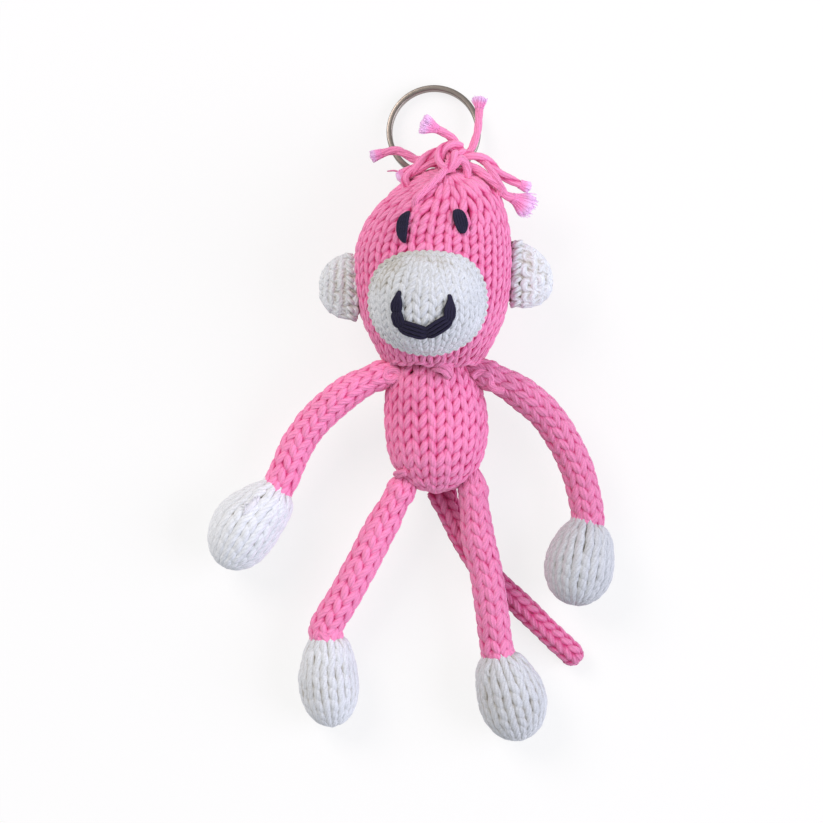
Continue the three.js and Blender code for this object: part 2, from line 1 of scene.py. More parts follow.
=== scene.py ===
import bpy
import math
import numpy as np
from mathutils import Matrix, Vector


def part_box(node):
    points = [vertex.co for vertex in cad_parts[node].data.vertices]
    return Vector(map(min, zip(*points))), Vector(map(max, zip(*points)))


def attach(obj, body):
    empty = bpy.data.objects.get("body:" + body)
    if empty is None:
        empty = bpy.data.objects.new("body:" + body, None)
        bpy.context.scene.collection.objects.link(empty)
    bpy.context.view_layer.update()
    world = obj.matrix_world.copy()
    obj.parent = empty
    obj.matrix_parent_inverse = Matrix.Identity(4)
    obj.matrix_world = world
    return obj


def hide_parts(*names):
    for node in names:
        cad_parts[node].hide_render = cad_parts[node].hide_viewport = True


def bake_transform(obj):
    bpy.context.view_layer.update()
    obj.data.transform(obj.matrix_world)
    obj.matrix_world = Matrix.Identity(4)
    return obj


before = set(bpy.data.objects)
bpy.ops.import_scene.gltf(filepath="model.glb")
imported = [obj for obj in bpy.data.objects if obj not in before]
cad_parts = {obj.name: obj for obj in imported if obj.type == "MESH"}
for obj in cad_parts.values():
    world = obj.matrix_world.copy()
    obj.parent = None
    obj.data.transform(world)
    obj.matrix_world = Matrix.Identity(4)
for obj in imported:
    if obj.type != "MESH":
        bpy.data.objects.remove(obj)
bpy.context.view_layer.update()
print("frame loaded", len(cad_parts), "nodes")

# Lengths are in millimetres until a mesh is made.
# The monkey lies on its back: +Z is up, +Y is towards the ring, and left and right are the viewer's.
mm = 0.001
turn = 2 * math.pi
seatGap = 0.3  # between pieces that are sewn together
# the seam between head and body: its middle above the table, half its width, and how far from it the covers'
# edges are drawn over it and the body drifts to the right
neck = {"height": 14, "radius": 11, "lip": 6, "drift": 18}
above = {"skin": 0.3, "filling": 1.2, "fibre": 0.2}  # how far these stay above the table
bodyLow, bodyHigh = (np.array(corner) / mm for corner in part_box("body_knit"))
# the seam of head and body, from which both are measured
origin = np.array([(bodyLow[0] + bodyHigh[0]) / 2, bodyHigh[1] + seatGap / 2, 0])
chance = np.random.default_rng(20)


# small helpers on whole arrays

def unit(vectors):
    return vectors / np.maximum(np.linalg.norm(vectors, axis=-1, keepdims=True), 1e-9)


def smooth(share):
    share = np.clip(share, 0, 1)
    return share * share * (3 - 2 * share)


def mix(low, high, share):
    return low + (high - low) * share


def jitter(count, size, along):
    # one random value for each stitch, blended from stitch to stitch
    return np.interp(along, np.arange(count + 2), chance.normal(0, size, count + 2))


def lengthsAlong(path):
    # how far along a path each of its places lies
    return np.concatenate([[0], np.cumsum(np.linalg.norm(np.diff(path, axis=0), axis=1))])


def curve(points, count):
    # uniform Catmull-Rom through the points, then count places at equal distances along it; and its length
    p = np.array(points, float)
    p = np.vstack([2 * p[0] - p[1], p, 2 * p[-1] - p[-2]])
    fine = np.linspace(0, len(p) - 3, 60 * (len(p) - 3) + 1)
    i = np.minimum(fine.astype(int), len(p) - 4)
    t = (fine - i)[:, None]
    a, b, c, d = p[i], p[i + 1], p[i + 2], p[i + 3]
    dense = 0.5 * (2 * b + (c - a) * t + (2 * a - 5 * b + 4 * c - d) * t**2 + (3 * b - a - 3 * c + d) * t**3)
    far = lengthsAlong(dense)
    want = np.linspace(0, far[-1], count)
    return np.stack([np.interp(want, far, dense[:, k]) for k in range(3)], 1), far[-1]


# surfaces: each is a function of a distance along its piece and an angle round it

def beyondWaist(form, distance):
    # 0 up to the waist, then evenly up to 1 at the far end
    return np.clip((distance - form["waist"]) / (form["length"] - form["waist"]), 0, 1)


def bulbRadius(form, distance):
    # it widens steeply from the mouth to the waist, then closes in a round end
    before = np.clip(1 - distance / form["waist"], 0, 1)
    power = form.get("rise", 2)
    rise = form["mouth"] + (form["radius"] - form["mouth"]) * (1 - before**power) ** (1 / power)
    close = form["radius"] * (1 - beyondWaist(form, distance) ** form["power"]) ** (1 / form["power"])
    return np.where(distance < form["waist"], rise, close)


def toTheRight(form, distance):
    # how far right of the neck the middle of a section lies: it drifts near the neck, leans beyond the waist
    return form["lean"] * beyondWaist(form, distance)**2 + form["drift"] * smooth(distance / neck["drift"])


def trunkSurface(form):
    # head or body: round at the neck, flatter at the waist, with its back on the table
    flat = form["depth"] / (2 * form["radius"])
    restHeight = form["radius"] * flat - form["restCut"]

    def plain(distance, angle):
        # level sections; the edge at the neck is drawn over the seam
        before = np.clip(1 - distance / form["waist"], 0, 1)
        flatness = mix(1, flat, smooth(distance / form["waist"]))
        back = mix(neck["height"] - neck["radius"], -form["restCut"], np.sqrt(1 - before**2))
        fullest = np.where(distance < form["waist"], bulbRadius(form, distance), form["radius"])
        middle = back + np.maximum(fullest, neck["radius"] * before) * flatness
        radius = bulbRadius(form, distance)
        x = toTheRight(form, distance) + radius * np.cos(angle)
        y = form["way"] * (seatGap / 2 + distance - form["lip"] * smooth(1 - distance / neck["lip"]))
        return np.stack([x, y, middle + radius * flatness * np.sin(angle)], -1) + origin

    def gathered(distance, angle):
        # beyond the waist the sections tilt more and more, until the last stitches meet at the front
        beyond = beyondWaist(form, distance)
        down = np.arccos(beyond)
        tilt = form["gather"] * beyond**2
        ahead = np.cos(down) * np.cos(tilt) - np.sin(down) * np.sin(angle) * np.sin(tilt)
        up = np.cos(down) * np.sin(tilt) + np.sin(down) * np.sin(angle) * np.cos(tilt)
        x = form["lean"] * ahead * np.abs(ahead) + form["radius"] * np.sin(down) * np.cos(angle)
        x = x - form["pull"] * beyond**12
        y = form["way"] * (seatGap / 2 + form["waist"] + (form["length"] - form["waist"]) * ahead)
        return np.stack([x, y, restHeight + form["radius"] * flat * up], -1) + origin

    def at(distance, angle):
        level = plain(distance, angle)
        if not form["gather"]:
            return level
        return np.where((distance > form["waist"])[..., None], gathered(distance, angle), level)

    return at


def sectionSurface(route, across, up, wide, deep):
    # ovals along a curve: wide and deep give half their sizes at a distance; beyond its ends it runs straight
    line, length = route
    places = np.linspace(0, length, len(line))
    tangent = unit(np.gradient(line, axis=0))
    side = unit(np.cross(tangent, up)) if across is None else np.broadcast_to(across, line.shape)
    lift = np.cross(side, tangent)

    def at(distance, angle):
        inside = np.clip(distance, 0, length)
        pick = lambda rows: np.stack([np.interp(inside, places, rows[:, k]) for k in range(3)], -1)
        centre = pick(line) + pick(tangent) * (distance - inside)[..., None]
        return (centre + pick(side) * (wide(distance) * np.cos(angle))[..., None]
                + pick(lift) * (deep(distance) * np.sin(angle))[..., None])

    return at


def awayFrom(surface, distance, angle):
    # unit normal: the surface's two directions crossed, turned to point out of the section
    along = surface(distance + 0.02, angle) - surface(distance - 0.02, angle)
    sideways = surface(distance, angle + 0.002) - surface(distance, angle - 0.002)
    normal = unit(np.cross(along, sideways))
    outwards = surface(distance, angle) - surface(distance, angle + math.pi)
    return normal * np.sign(np.sum(normal * outwards, -1, keepdims=True))


def alongSide(surface, low, high):
    # distances, and how far each lies from the first along the surface's side, in real length
    distance = np.linspace(low, high, 400)
    return lengthsAlong(surface(distance, np.zeros_like(distance))), distance


# meshes: a part is a dictionary of its points, faces and yarn values, and a piece joins its parts

def gridFaces(rows, columns):
    # quads of a grid of rows of points, each row closed round
    r, c = np.meshgrid(np.arange(rows - 1), np.arange(columns), indexing="ij")
    n = (c + 1) % columns
    corners = [r * columns + c, r * columns + n, (r + 1) * columns + n, (r + 1) * columns + c]
    return np.stack(corners, -1).reshape(-1, 4)


def capped(grid, start, end):
    # rows of points closed round, and at each end a fan of triangles from a point of its own
    rows, columns = grid.shape[:2]
    k = np.arange(columns)
    n = (k + 1) % columns
    last = (rows - 1) * columns
    fans = [np.stack([np.full(columns, rows * columns), n, k], -1),
            np.stack([np.full(columns, rows * columns + 1), last + k, last + n], -1)]
    return {"points": np.vstack([grid.reshape(-1, 3), start, end]), "quads": gridFaces(rows, columns),
            "tris": np.vstack(fans)}


def facingOut(part):
    # the volume under the faces comes out negative where they point inwards, and then each is turned round
    p = part["points"]
    volume = 0
    for corners in (part["quads"][:, [0, 1, 2]], part["quads"][:, [0, 2, 3]], part["tris"]):
        a, b, c = p[corners[:, 0]], p[corners[:, 1]], p[corners[:, 2]]
        volume += np.sum(a * np.cross(b, c))
    if volume < 0:
        part["quads"], part["tris"] = part["quads"][:, ::-1], part["tris"][:, ::-1]
    return part


def tubePart(path, out, radius, sides=8, flat=1.0):
    # a closed tube: sections carried along a path, kept upright by the out direction, with low cone ends;
    # its map gives the share of a turn across and millimetres along
    tangent = unit(np.gradient(path, axis=0))
    side = unit(np.cross(tangent, out))
    lift = np.cross(side, tangent)
    angle = np.arange(sides) / sides * turn
    reach = np.broadcast_to(np.asarray(radius, float), (len(path),))[:, None]
    ring = (path[:, None] + reach[..., None] * (np.cos(angle)[None, :, None] * side[:, None]
            + flat * np.sin(angle)[None, :, None] * lift[:, None]))
    part = capped(ring, path[:1] - tangent[:1] * 0.3 * reach[0], path[-1:] + tangent[-1:] * 0.3 * reach[-1])
    far = lengthsAlong(path)
    k = np.arange(sides)
    u = np.tile(np.stack([k, k + 1, k + 1, k], -1) / sides, (len(path) - 1, 1))
    v = np.repeat(np.stack([far[:-1], far[:-1], far[1:], far[1:]], -1), sides, 0)
    part["uv"] = np.stack([u, v], -1)
    part["height"] = np.sin(angle) * flat
    return part


def spread(values, ends=0.5):
    # one value for each vertex of a tube, from one for each of its grid's vertices and one for both ends
    return np.concatenate([np.asarray(values, float).ravel(), [ends, ends]])


def yarnPart(path, out, radius, sides, lower, relief):
    # a tube of yarn, coloured lighter on its outer side and darker on its inner side, as painted light and
    # shade
    part = tubePart(path, out, radius, sides)
    part["deep"] = spread(np.broadcast_to(lower - relief * part["height"], (len(path), sides)), 0.3)
    return part


def shellPart(surface, low, high, inset, rows, columns):
    # a closed skin a given depth inside a surface
    places = np.linspace(low, high, rows), np.arange(columns) / columns * turn
    distance, angle = np.meshgrid(*places, indexing="ij")
    points = surface(distance, angle) - awayFrom(surface, distance, angle) * inset
    points[..., 2] = np.maximum(points[..., 2], above["skin"])
    return facingOut(capped(points, points[0].mean(0), points[-1].mean(0)))


def makePiece(name, parts, material, body, node):
    # joins the parts into one mesh, with the yarn's map and its two attributes, and rides it on a body;
    # a part may ask for the second material, of frayed yarn
    points = np.vstack([part["points"] for part in parts])
    starts = np.cumsum([0] + [len(part["points"]) for part in parts[:-1]])
    quads = np.vstack([part["quads"] + at for part, at in zip(parts, starts)])
    tris = np.vstack([part["tris"] + at for part, at in zip(parts, starts)])
    uvQuads = np.vstack([part.get("uv", np.zeros((len(part["quads"]), 4, 2))) for part in parts])
    mesh = bpy.data.meshes.new(name)
    mesh.vertices.add(len(points))
    mesh.vertices.foreach_set("co", (points * mm).astype(np.float32).ravel())
    corners = np.concatenate([quads.ravel(), tris.ravel()])
    mesh.loops.add(len(corners))
    mesh.loops.foreach_set("vertex_index", corners.astype(np.int32))
    mesh.polygons.add(len(quads) + len(tris))
    mesh.polygons.foreach_set("loop_start", np.concatenate(
        [np.arange(len(quads)) * 4, len(quads) * 4 + np.arange(len(tris)) * 3]).astype(np.int32))
    mesh.update(calc_edges=True)
    mesh.polygons.foreach_set("use_smooth", np.ones(len(mesh.polygons), bool))
    layer = mesh.uv_layers.new(name="yarnMap")
    uv = np.concatenate([uvQuads.ravel(), np.zeros(tris.size * 2)])
    layer.data.foreach_set("uv", uv.astype(np.float32))
    for key in ("deep", "tone"):
        values = np.concatenate([part.get(key, np.full(len(part["points"]), 0.5)) for part in parts])
        mesh.attributes.new(key, "FLOAT", "POINT").data.foreach_set("value", values.astype(np.float32))
    mesh.materials.append(material)
    if any(part.get("frayed") for part in parts):
        mesh.materials.append(frayedYarn)
        slots = [np.full(len(part[kind]), part.get("frayed", 0))
                 for kind in ("quads", "tris") for part in parts]
        mesh.polygons.foreach_set("material_index", np.concatenate(slots).astype(np.int32))
    mesh.validate()
    piece = bpy.data.objects.new(name, mesh)
    bpy.context.scene.collection.objects.link(piece)
    if body:
        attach(piece, body)
    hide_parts(node)
    return piece


# materials

def linear(hexColour):
    # a colour written as on a screen, as the linear one that a node takes
    channels = [int(hexColour[i:i + 2], 16) / 255 for i in (1, 3, 5)]
    return [c / 12.92 if c <= 0.04045 else ((c + 0.055) / 1.055) ** 2.4 for c in channels] + [1]


def addNode(tree, kind, sockets=None, **settings):
    # a node with its settings; each socket gets a value, or a link where it is another node's output
    made = tree.nodes.new(kind)
    for key, value in settings.items():
        setattr(made, key, value)
    for key, value in (sockets or {}).items():
        if isinstance(value, bpy.types.NodeSocket):
            tree.links.new(value, made.inputs[key])
        else:
            made.inputs[key].default_value = value
    return made


def newMaterial(name):
    material = bpy.data.materials.new(name)
    material.use_nodes = True
    material.node_tree.nodes.clear()
    return material, material.node_tree


def finishMaterial(tree, shader):
    addNode(tree, "ShaderNodeOutputMaterial", {"Surface": shader.outputs[0]})


cotton = {"lay": 16.0, "waves": 4, "fibre": 0.35, "patch": 9.0, "relief": 0.2, "roughness": 0.88,
          "sheenRoughness": 0.45, "specular": 0.28}


def cottonYarn(name, colours, sheen, strength=0.6):
    # soft mercerised cotton: matt, with a light bloom of fibres at grazing angles, and painted shade that
    # makes it darker and more saturated down between the stitches
    material, tree = newMaterial(name)
    yarnMap = addNode(tree, "ShaderNodeUVMap", uv_map="yarnMap")
    places = addNode(tree, "ShaderNodeSeparateXYZ", {0: yarnMap.outputs[0]})
    # plies: two ridges for each wave, which run once round the yarn in its lay
    along = addNode(tree, "ShaderNodeMath", {
        0: places.outputs["Y"], 1: 1 / cotton["lay"]}, operation="MULTIPLY")
    phase = addNode(tree, "ShaderNodeMath", {0: places.outputs["X"], 1: along.outputs[0]}, operation="ADD")
    waves = addNode(tree, "ShaderNodeMath", {
        0: phase.outputs[0], 1: turn * cotton["waves"]}, operation="MULTIPLY")
    wave = addNode(tree, "ShaderNodeMath", {0: waves.outputs[0]}, operation="SINE")
    ridge = addNode(tree, "ShaderNodeMath", {0: wave.outputs[0]}, operation="ABSOLUTE")
    # fibres: specks, drawn about a third of a millimetre wide so that they show
    place = addNode(tree, "ShaderNodeTexCoord")
    fibres = addNode(tree, "ShaderNodeTexNoise", {
        "Vector": place.outputs["Object"], "Scale": 1 / (cotton["fibre"] * mm), "Detail": 3.0,
        "Roughness": 0.7})
    patches = addNode(tree, "ShaderNodeTexNoise", {
        "Vector": place.outputs["Object"], "Scale": 1 / (cotton["patch"] * mm), "Detail": 2.0})
    # colour: painted shade, darker and more saturated by how deep a place lies between the stitches
    deep = addNode(tree, "ShaderNodeAttribute", attribute_name="deep")
    ramp = addNode(tree, "ShaderNodeValToRGB", {0: deep.outputs["Fac"]})
    top, bottom = ramp.color_ramp.elements
    top.color, top.position = linear(colours["top"]), 0.05
    bottom.color, bottom.position = linear(colours["deep"]), 0.42
    ramp.color_ramp.elements.new(0.17).color = linear(colours["side"])
    # brightness: the stitch's own tone, which carries painted light and shade on whole pieces, then the
    # fibres, wide soft patches and the plies, with painted shade in the grooves between the plies
    tone = addNode(tree, "ShaderNodeAttribute", attribute_name="tone")
    fuzz = addNode(tree, "ShaderNodeMath", {0: fibres.outputs["Fac"], 1: 0.5}, operation="SUBTRACT")
    fuzz = addNode(tree, "ShaderNodeMath", {0: fuzz.outputs[0], 1: 0.6}, operation="MULTIPLY")
    value = addNode(tree, "ShaderNodeMath", {0: tone.outputs["Fac"], 1: fuzz.outputs[0]}, operation="ADD")
    patch = addNode(tree, "ShaderNodeMath", {
        0: patches.outputs["Fac"], 1: 0.12, 2: 0.44}, operation="MULTIPLY_ADD")
    value = addNode(tree, "ShaderNodeMath", {0: value.outputs[0], 1: patch.outputs[0]}, operation="ADD")
    ply = addNode(tree, "ShaderNodeMath", {0: ridge.outputs[0], 1: 0.1, 2: -0.06}, operation="MULTIPLY_ADD")
    value = addNode(tree, "ShaderNodeMath", {0: value.outputs[0], 1: ply.outputs[0]}, operation="ADD")
    colour = addNode(tree, "ShaderNodeHueSaturation", {
        "Color": ramp.outputs["Color"], "Value": value.outputs[0]})
    height = addNode(tree, "ShaderNodeMath", {
        0: fibres.outputs["Fac"], 1: 0.35, 2: ridge.outputs[0]}, operation="MULTIPLY_ADD")
    bump = addNode(tree, "ShaderNodeBump", {
        "Height": height.outputs[0], "Strength": strength, "Distance": cotton["relief"] * mm})
    shader = addNode(tree, "ShaderNodeBsdfPrincipled", {
        "Base Color": colour.outputs["Color"], "Roughness": cotton["roughness"],
        "Normal": bump.outputs["Normal"], "Sheen Weight": sheen, "Sheen Roughness": cotton["sheenRoughness"],
        "Specular IOR Level": cotton["specular"]})
    finishMaterial(tree, shader)
    return material


# top is each yarn's colour on top of its stitches; side and deep are it darker and more saturated, as painted
# shade for the places down between them
pinkYarn = cottonYarn("pinkCottonYarn", {"top": "#f590bf", "side": "#d94486", "deep": "#a81449"}, 0.3)
creamYarn = cottonYarn("creamCottonYarn", {"top": "#dde2e7", "side": "#c4c3bd", "deep": "#84745a"}, 0.25, 0.4)
frayedYarn = cottonYarn("frayedPinkYarn", {"top": "#eec2ee", "side": "#f28cc4", "deep": "#d0488c"}, 0.5, 0.3)
navyYarn = cottonYarn("navyCottonYarn", {"top": "#23203a", "side": "#171527", "deep": "#080812"}, 0.05)


def fibreFill():
    # loose crimped polyester fibre: white and matt, in tangled half-millimetre wisps
    material, tree = newMaterial("whitePolyesterFibre")
    place = addNode(tree, "ShaderNodeTexCoord")
    fibres = addNode(tree, "ShaderNodeTexNoise", {
        "Vector": place.outputs["Object"], "Scale": 1 / (0.5 * mm), "Detail": 4.0, "Distortion": 2.5})
    bump = addNode(tree, "ShaderNodeBump", {
        "Height": fibres.outputs["Fac"], "Strength": 0.7, "Distance": 0.3 * mm})
    shader = addNode(tree, "ShaderNodeBsdfPrincipled", {
        "Base Color": linear("#eceef6"), "Roughness": 0.95, "Normal": bump.outputs["Normal"],
        "Sheen Weight": 0.4})
    finishMaterial(tree, shader)
    return material


def steelPlate():
    # nickel-plated spring steel: bright, and duller in millimetre patches where it has rubbed on keys
    material, tree = newMaterial("nickelPlatedSteel")
    place = addNode(tree, "ShaderNodeTexCoord")
    wear = addNode(tree, "ShaderNodeTexNoise", {
        "Vector": place.outputs["Object"], "Scale": 1 / (1.2 * mm), "Detail": 4.0, "Roughness": 0.65})
    rough = addNode(tree, "ShaderNodeMapRange", {"Value": wear.outputs["Fac"], "To Min": 0.2, "To Max": 0.42})
    shader = addNode(tree, "ShaderNodeBsdfPrincipled", {
        "Base Color": linear("#968e87"), "Metallic": 1.0, "Roughness": rough.outputs["Result"]})
    finishMaterial(tree, shader)
    return material


whiteFibre = fibreFill()
platedSteel = steelPlate()
print("materials ready")


# knitting: one unbroken yarn, a loop for each stitch, worked round and round a surface

def opened(path, holes):
    # pushes the yarn of the front aside at the places, given in the front view, where the fabric gapes
    front = path[:, 2] > path[:, 2].mean()
    for x, y, size in holes:
        aside = path[:, :2] - (origin[:2] + [x, y])
        far = np.maximum(np.linalg.norm(aside, axis=1), 0.01)
        push = size * np.exp(-(far / (1.6 * size))**2) * front
        path[:, :2] += aside * (push / far)[:, None]
    return path


# A cover's own settings add to these or replace them. yarn is how thick its yarn is, wale how wide a stitch
# has to be to leave it unsqueezed, and heads 1 or -1, as the loops point away from the start or back to it.
# angle is where the first stitch lies, swing how far the legs of a stitch swing sideways and bias how much
# more one does, and loose how uneven it is. reach is how far the heads go beyond their row, dip how far
# they sink behind it and late how suddenly. proud moves the yarn out, deepen darkens its painted shade,
# front -1 shows the purl side, shade is painted light and shade on the whole piece, its tone raised or
# lowered as the piece is lit, and holes are where it gapes. rowHeights compare the rows, steps are places
# in a stitch, sides those of the yarn's section, and flat how flat that is.
plainKnit = {"angle": -turn / 4, "swing": 0.2, "bias": 0.045, "loose": 1.0, "reach": 1.0, "dip": 0.46,
             "late": 1.5, "proud": 0, "deepen": 0, "front": 1, "shade": 0, "holes": [], "steps": 20,
             "sides": 8, "flat": 0.88}


def knit(surface, low, high, wales, changes):
    # for each stitch t goes once round: sideways it is t plus a double swing, which makes the V's lean;
    # up and down it is the cosine of t; and its legs, a quarter of the way up and down, stand out in front
    settings = {**plainKnit, **changes}
    yarn, loose, front = settings["yarn"], settings["loose"], settings["front"]
    counts = np.array(wales)
    ends = np.cumsum(counts)
    total = int(ends[-1])
    worked = np.arange(total * settings["steps"] + 1) / settings["steps"]
    row = np.minimum(np.searchsorted(ends, worked, side="right"), len(counts) - 1)
    inRow = worked - (ends - counts)[row]
    t = worked * turn
    grain = -np.sin(t)  # 1 on the leg that stands out as a grain, -1 on the one that runs on as a rope
    swing = settings["swing"] + settings["bias"] * grain + jitter(total, 0.014 * loose, worked)
    sideways = inRow + swing * np.sin(2 * t) + jitter(total, 0.03 * loose, worked)
    angle = settings["angle"] + sideways / counts[row] * turn
    # every row climbs evenly into the next
    steady = row + inRow / counts[row]
    height = steady + jitter(total, 0.05 * loose, worked)
    height += settings["heads"] * settings["reach"] * np.cos(t) + 0.5
    far, places = alongSide(surface, low, high)
    tall = np.concatenate([[0], np.cumsum(settings.get("rowHeights", np.ones(len(counts))))])
    onSide = lambda rows: np.interp(rows, np.arange(len(tall)), tall / tall[-1]) * far[-1]
    distance = np.interp(onSide(height), far, places)
    centre = np.interp(onSide(steady), far, places)
    # the yarn is squeezed where the stitches are narrow
    around = surface(centre, angle + 0.01) - surface(centre, angle - 0.01)
    wide = np.linalg.norm(around, axis=1) / 0.02 * turn / counts[row]
    squeeze = np.clip(wide / settings["wale"], 0.4, 1.12) ** 0.7
    radius = yarn / 2 * squeeze * (0.99 - (0.12 + 0.02 * grain) * np.cos(2 * t) * front)
    radius = radius * (1 + jitter(total, 0.035 * loose, worked))
    # it sinks late and quickly at its heads, so that the legs look long and pointed
    dip = settings["dip"] * yarn * squeeze * (1 + 0.3 * grain)
    sinking = 2 * ((1 + front * np.cos(2 * t)) / 2) ** settings["late"]
    inset = yarn / 2 * squeeze + dip * sinking - settings["proud"]
    inset = inset - jitter(total, 0.05 * loose, worked)
    out = awayFrom(surface, distance, angle)
    path = opened(surface(distance, angle) - out * inset[:, None], settings["holes"])
    path[:, 2] = np.maximum(path[:, 2], radius * 0.94)
    part = tubePart(path, out, radius, settings["sides"], settings["flat"])
    # painted shade: the yarn is coloured darker the deeper it lies and on its inner side, and lighter on its
    # outer side; deepen darkens it further
    depth = inset[:, None] + settings["deepen"] - radius[:, None] * part["height"][None]
    part["deep"] = spread(np.clip(depth / (yarn * (1 + 2 * settings["dip"])), 0, 1), 0.6)
    # its tone: the piece's painted light or shade, and a little random change from stitch to stitch
    tone = 0.5 + settings["shade"] + jitter(total, 0.02, worked)
    part["tone"] = spread(np.repeat(tone, settings["sides"]))
    return part


def shadeLining(surface, low, high, depth, rows=40, columns=64, deep=0.95):
    # painted shade: the back of the fabric, coloured dark as if in shadow and seen only in the gaps between
    # stitches; its tone lightens that painted shade a little
    part = shellPart(surface, low, high, depth, rows, columns)
    part["deep"] = np.full(len(part["points"]), deep)
    part["tone"] = np.full(len(part["points"]), 0.9)
    return part


def filling(surface, low, high, depth, lumps, rows=44, columns=60):
    # loose fibre in soft lumps: the inside of the surface, moved in and out by a few waves in all directions
    part = shellPart(surface, low, high, depth, rows, columns)
    p = part["points"]
    middle = (p.min(0) + p.max(0)) / 2
    waves = unit(chance.normal(0, 1, (9, 3)))
    waves = waves * chance.uniform(0.6, 1.6, (9, 1))
    rise = np.mean(np.sin(p @ waves.T + chance.uniform(0, turn, 9)), 1)
    part["points"] = p + unit(p - middle) * (lumps * (rise - 0.3))[:, None]
    part["points"][:, 2] = np.maximum(part["points"][:, 2], above["filling"])
    return part


def drawnEnd(surface, length, yarn):
    # the yarn end drawn through the last stitches: two short strands crossing where they meet
    tip = length - 0.001
    pole = surface(np.array([tip]), np.array([0.0]))[0]
    inside = surface(np.full(2, length - 4.0), np.array([0, turn / 2])).mean(0)
    out = unit(pole - inside)
    s = np.linspace(-1, 1, 18)
    parts = []
    for start in (0.5, 2.1):
        angle = start + np.where(s < 0, turn / 2, 0)
        sunk = yarn * (0.35 + 0.8 * s**2)
        path = surface(tip - 0.3 * s**2, angle) - out * sunk[:, None]
        path[:, 2] = np.maximum(path[:, 2], yarn * 0.4)
        radius = yarn / 2 * (1 - 0.2 * s**2)
        parts.append(yarnPart(path, np.tile(out, (len(s), 1)), radius, 10, 0.16, 0.12))
    return parts


# loose yarn: a few plies twisted together

def carried(path):
    # the direction at each place, and an across and an up without any twist of their own
    tangent = unit(np.gradient(path, axis=0))
    across = np.empty_like(path)
    side = np.cross(tangent[0], [0, 0, 1])
    side = side if np.linalg.norm(side) > 0.05 else np.cross(tangent[0], [0, 1, 0.3])
    for i, direction in enumerate(tangent):
        side = side - direction * np.dot(side, direction)
        side = side / np.linalg.norm(side)
        across[i] = side
    return tangent, across, np.cross(across, tangent)


def twisted(path, width, plies=4, lay=cotton["lay"]):
    # plies so thick that they nearly fill the yarn, with shallow grooves between them
    _, across, up = carried(path)
    width = np.broadcast_to(np.asarray(width, float), (len(path),))
    strand = width * (0.3 if plies > 2 else 0.33)
    off = width / 2 - strand
    parts = []
    for k in range(plies):
        phase = turn * (k / plies + lengthsAlong(path) / lay)
        place = path + across * (off * np.cos(phase))[:, None] + up * (off * np.sin(phase))[:, None]
        place[:, 2] = np.maximum(place[:, 2], strand * 0.9)
        outwards = across * np.cos(phase)[:, None] + up * np.sin(phase)[:, None]
        part = yarnPart(place, outwards, strand, 10, 0.1, 0.14)
        part["tone"] = np.full(len(part["points"]), 0.5 + chance.normal(0, 0.012))
        parts.append(part)
    return parts


# head and body

head = {"mouth": 8.9, "radius": 20.9, "depth": 37.6, "waist": 25, "length": 51, "power": 2, "lean": 5.5,
        "way": 1, "restCut": 0.5, "gather": math.radians(23), "pull": 1.6, "lip": 2.2, "drift": 0,
        "shadeLining": 2.9, "filling": 4.4}
body = {"mouth": 8.4, "radius": 13.8, "depth": 24.6, "waist": 16, "length": 34.5, "power": 2.3, "lean": 0,
        "way": -1, "restCut": 0.5, "gather": 0, "lip": 1.2, "drift": 0.9, "shadeLining": 3.0, "filling": 4.4}
headSurface = trunkSurface(head)
bodySurface = trunkSurface(body)

# the head's shade is painted shade: the whole head a little darker than the body
# places where the knitting gapes are given as right and up of the seam in the front view, and how wide
headKnit = {"yarn": 2.2, "wale": 4.8, "heads": 1, "shade": -0.03, "holes": [
                [9.2, 39.6, 0.4], [15.8, 45.8, 0.4], [4.3, 33.5, 0.3], [-9.6, 29.9, 0.4], [0, 30.4, 0.3]],
            "rowHeights": [1.0] * 8 + [0.86] * 4 + [1.0, 1.2, 1.6, 2.1, 2.4]}
headWales = [22, 24] + [26] * 11 + [24, 18, 14, 9]
bodyKnit = {"yarn": 2.3, "wale": 4.9, "heads": -1, "swing": 0.24, "bias": 0.025,
            "holes": [[-5.8, -3.4, 0.7], [-0.1, -7.6, 0.4]]}
bodyWales = [18] * 8 + [16, 14, 10, 6]
headEdge = {"width": 1.9, "uneven": 0.25, "inset": 0.45, "lay": 5.2}


def neckEdge():
    # the cast-on edge of the head, uneven slanting bumps drawn over the top of the body
    around = np.linspace(0, 1, 260) * turn
    distance = 0.9 + 0.35 * np.sin(7 * around) * np.sin(4 * around + 1)
    line = headSurface(distance, around) - awayFrom(headSurface, distance, around) * headEdge["inset"]
    return twisted(line, headEdge["width"] + headEdge["uneven"] * np.sin(9 * around), 2, headEdge["lay"])


headParts = [knit(headSurface, 0.2, 50.93, headWales, headKnit),
             shadeLining(headSurface, 0.5, 50.6, head["shadeLining"])]
headParts += neckEdge()
makePiece("headKnit", headParts, pinkYarn, "head", "head_knit")
bodyParts = [knit(bodySurface, 0.2, 34.44, bodyWales, bodyKnit),
             shadeLining(bodySurface, 0.4, 33.6, body["shadeLining"])]
bodyParts += drawnEnd(bodySurface, body["length"], bodyKnit["yarn"])
makePiece("bodyKnit", bodyParts, pinkYarn, "torso", "body_knit")
headFibre = [filling(headSurface, 1.5, 46, head["filling"], 2)]
makePiece("headFilling", headFibre, whiteFibre, "head", "head_stuffing")
bodyFibre = [filling(bodySurface, 1.5, 30, body["filling"], 2)]
makePiece("bodyFilling", bodyFibre, whiteFibre, "torso", "body_stuffing")
print("head and body knitted")


# places on the head and the body

def frontOf(form, surface, x, y, lift):
    # a place given in the front view, lifted off the form along its normal
    distance = np.abs(y) - seatGap / 2
    share = np.clip((x - toTheRight(form, distance)) / bulbRadius(form, distance), -0.98, 0.98)
    angle = np.arccos(share)
    return surface(distance, angle) + awayFrom(surface, distance, angle) * np.asarray(lift)[..., None]


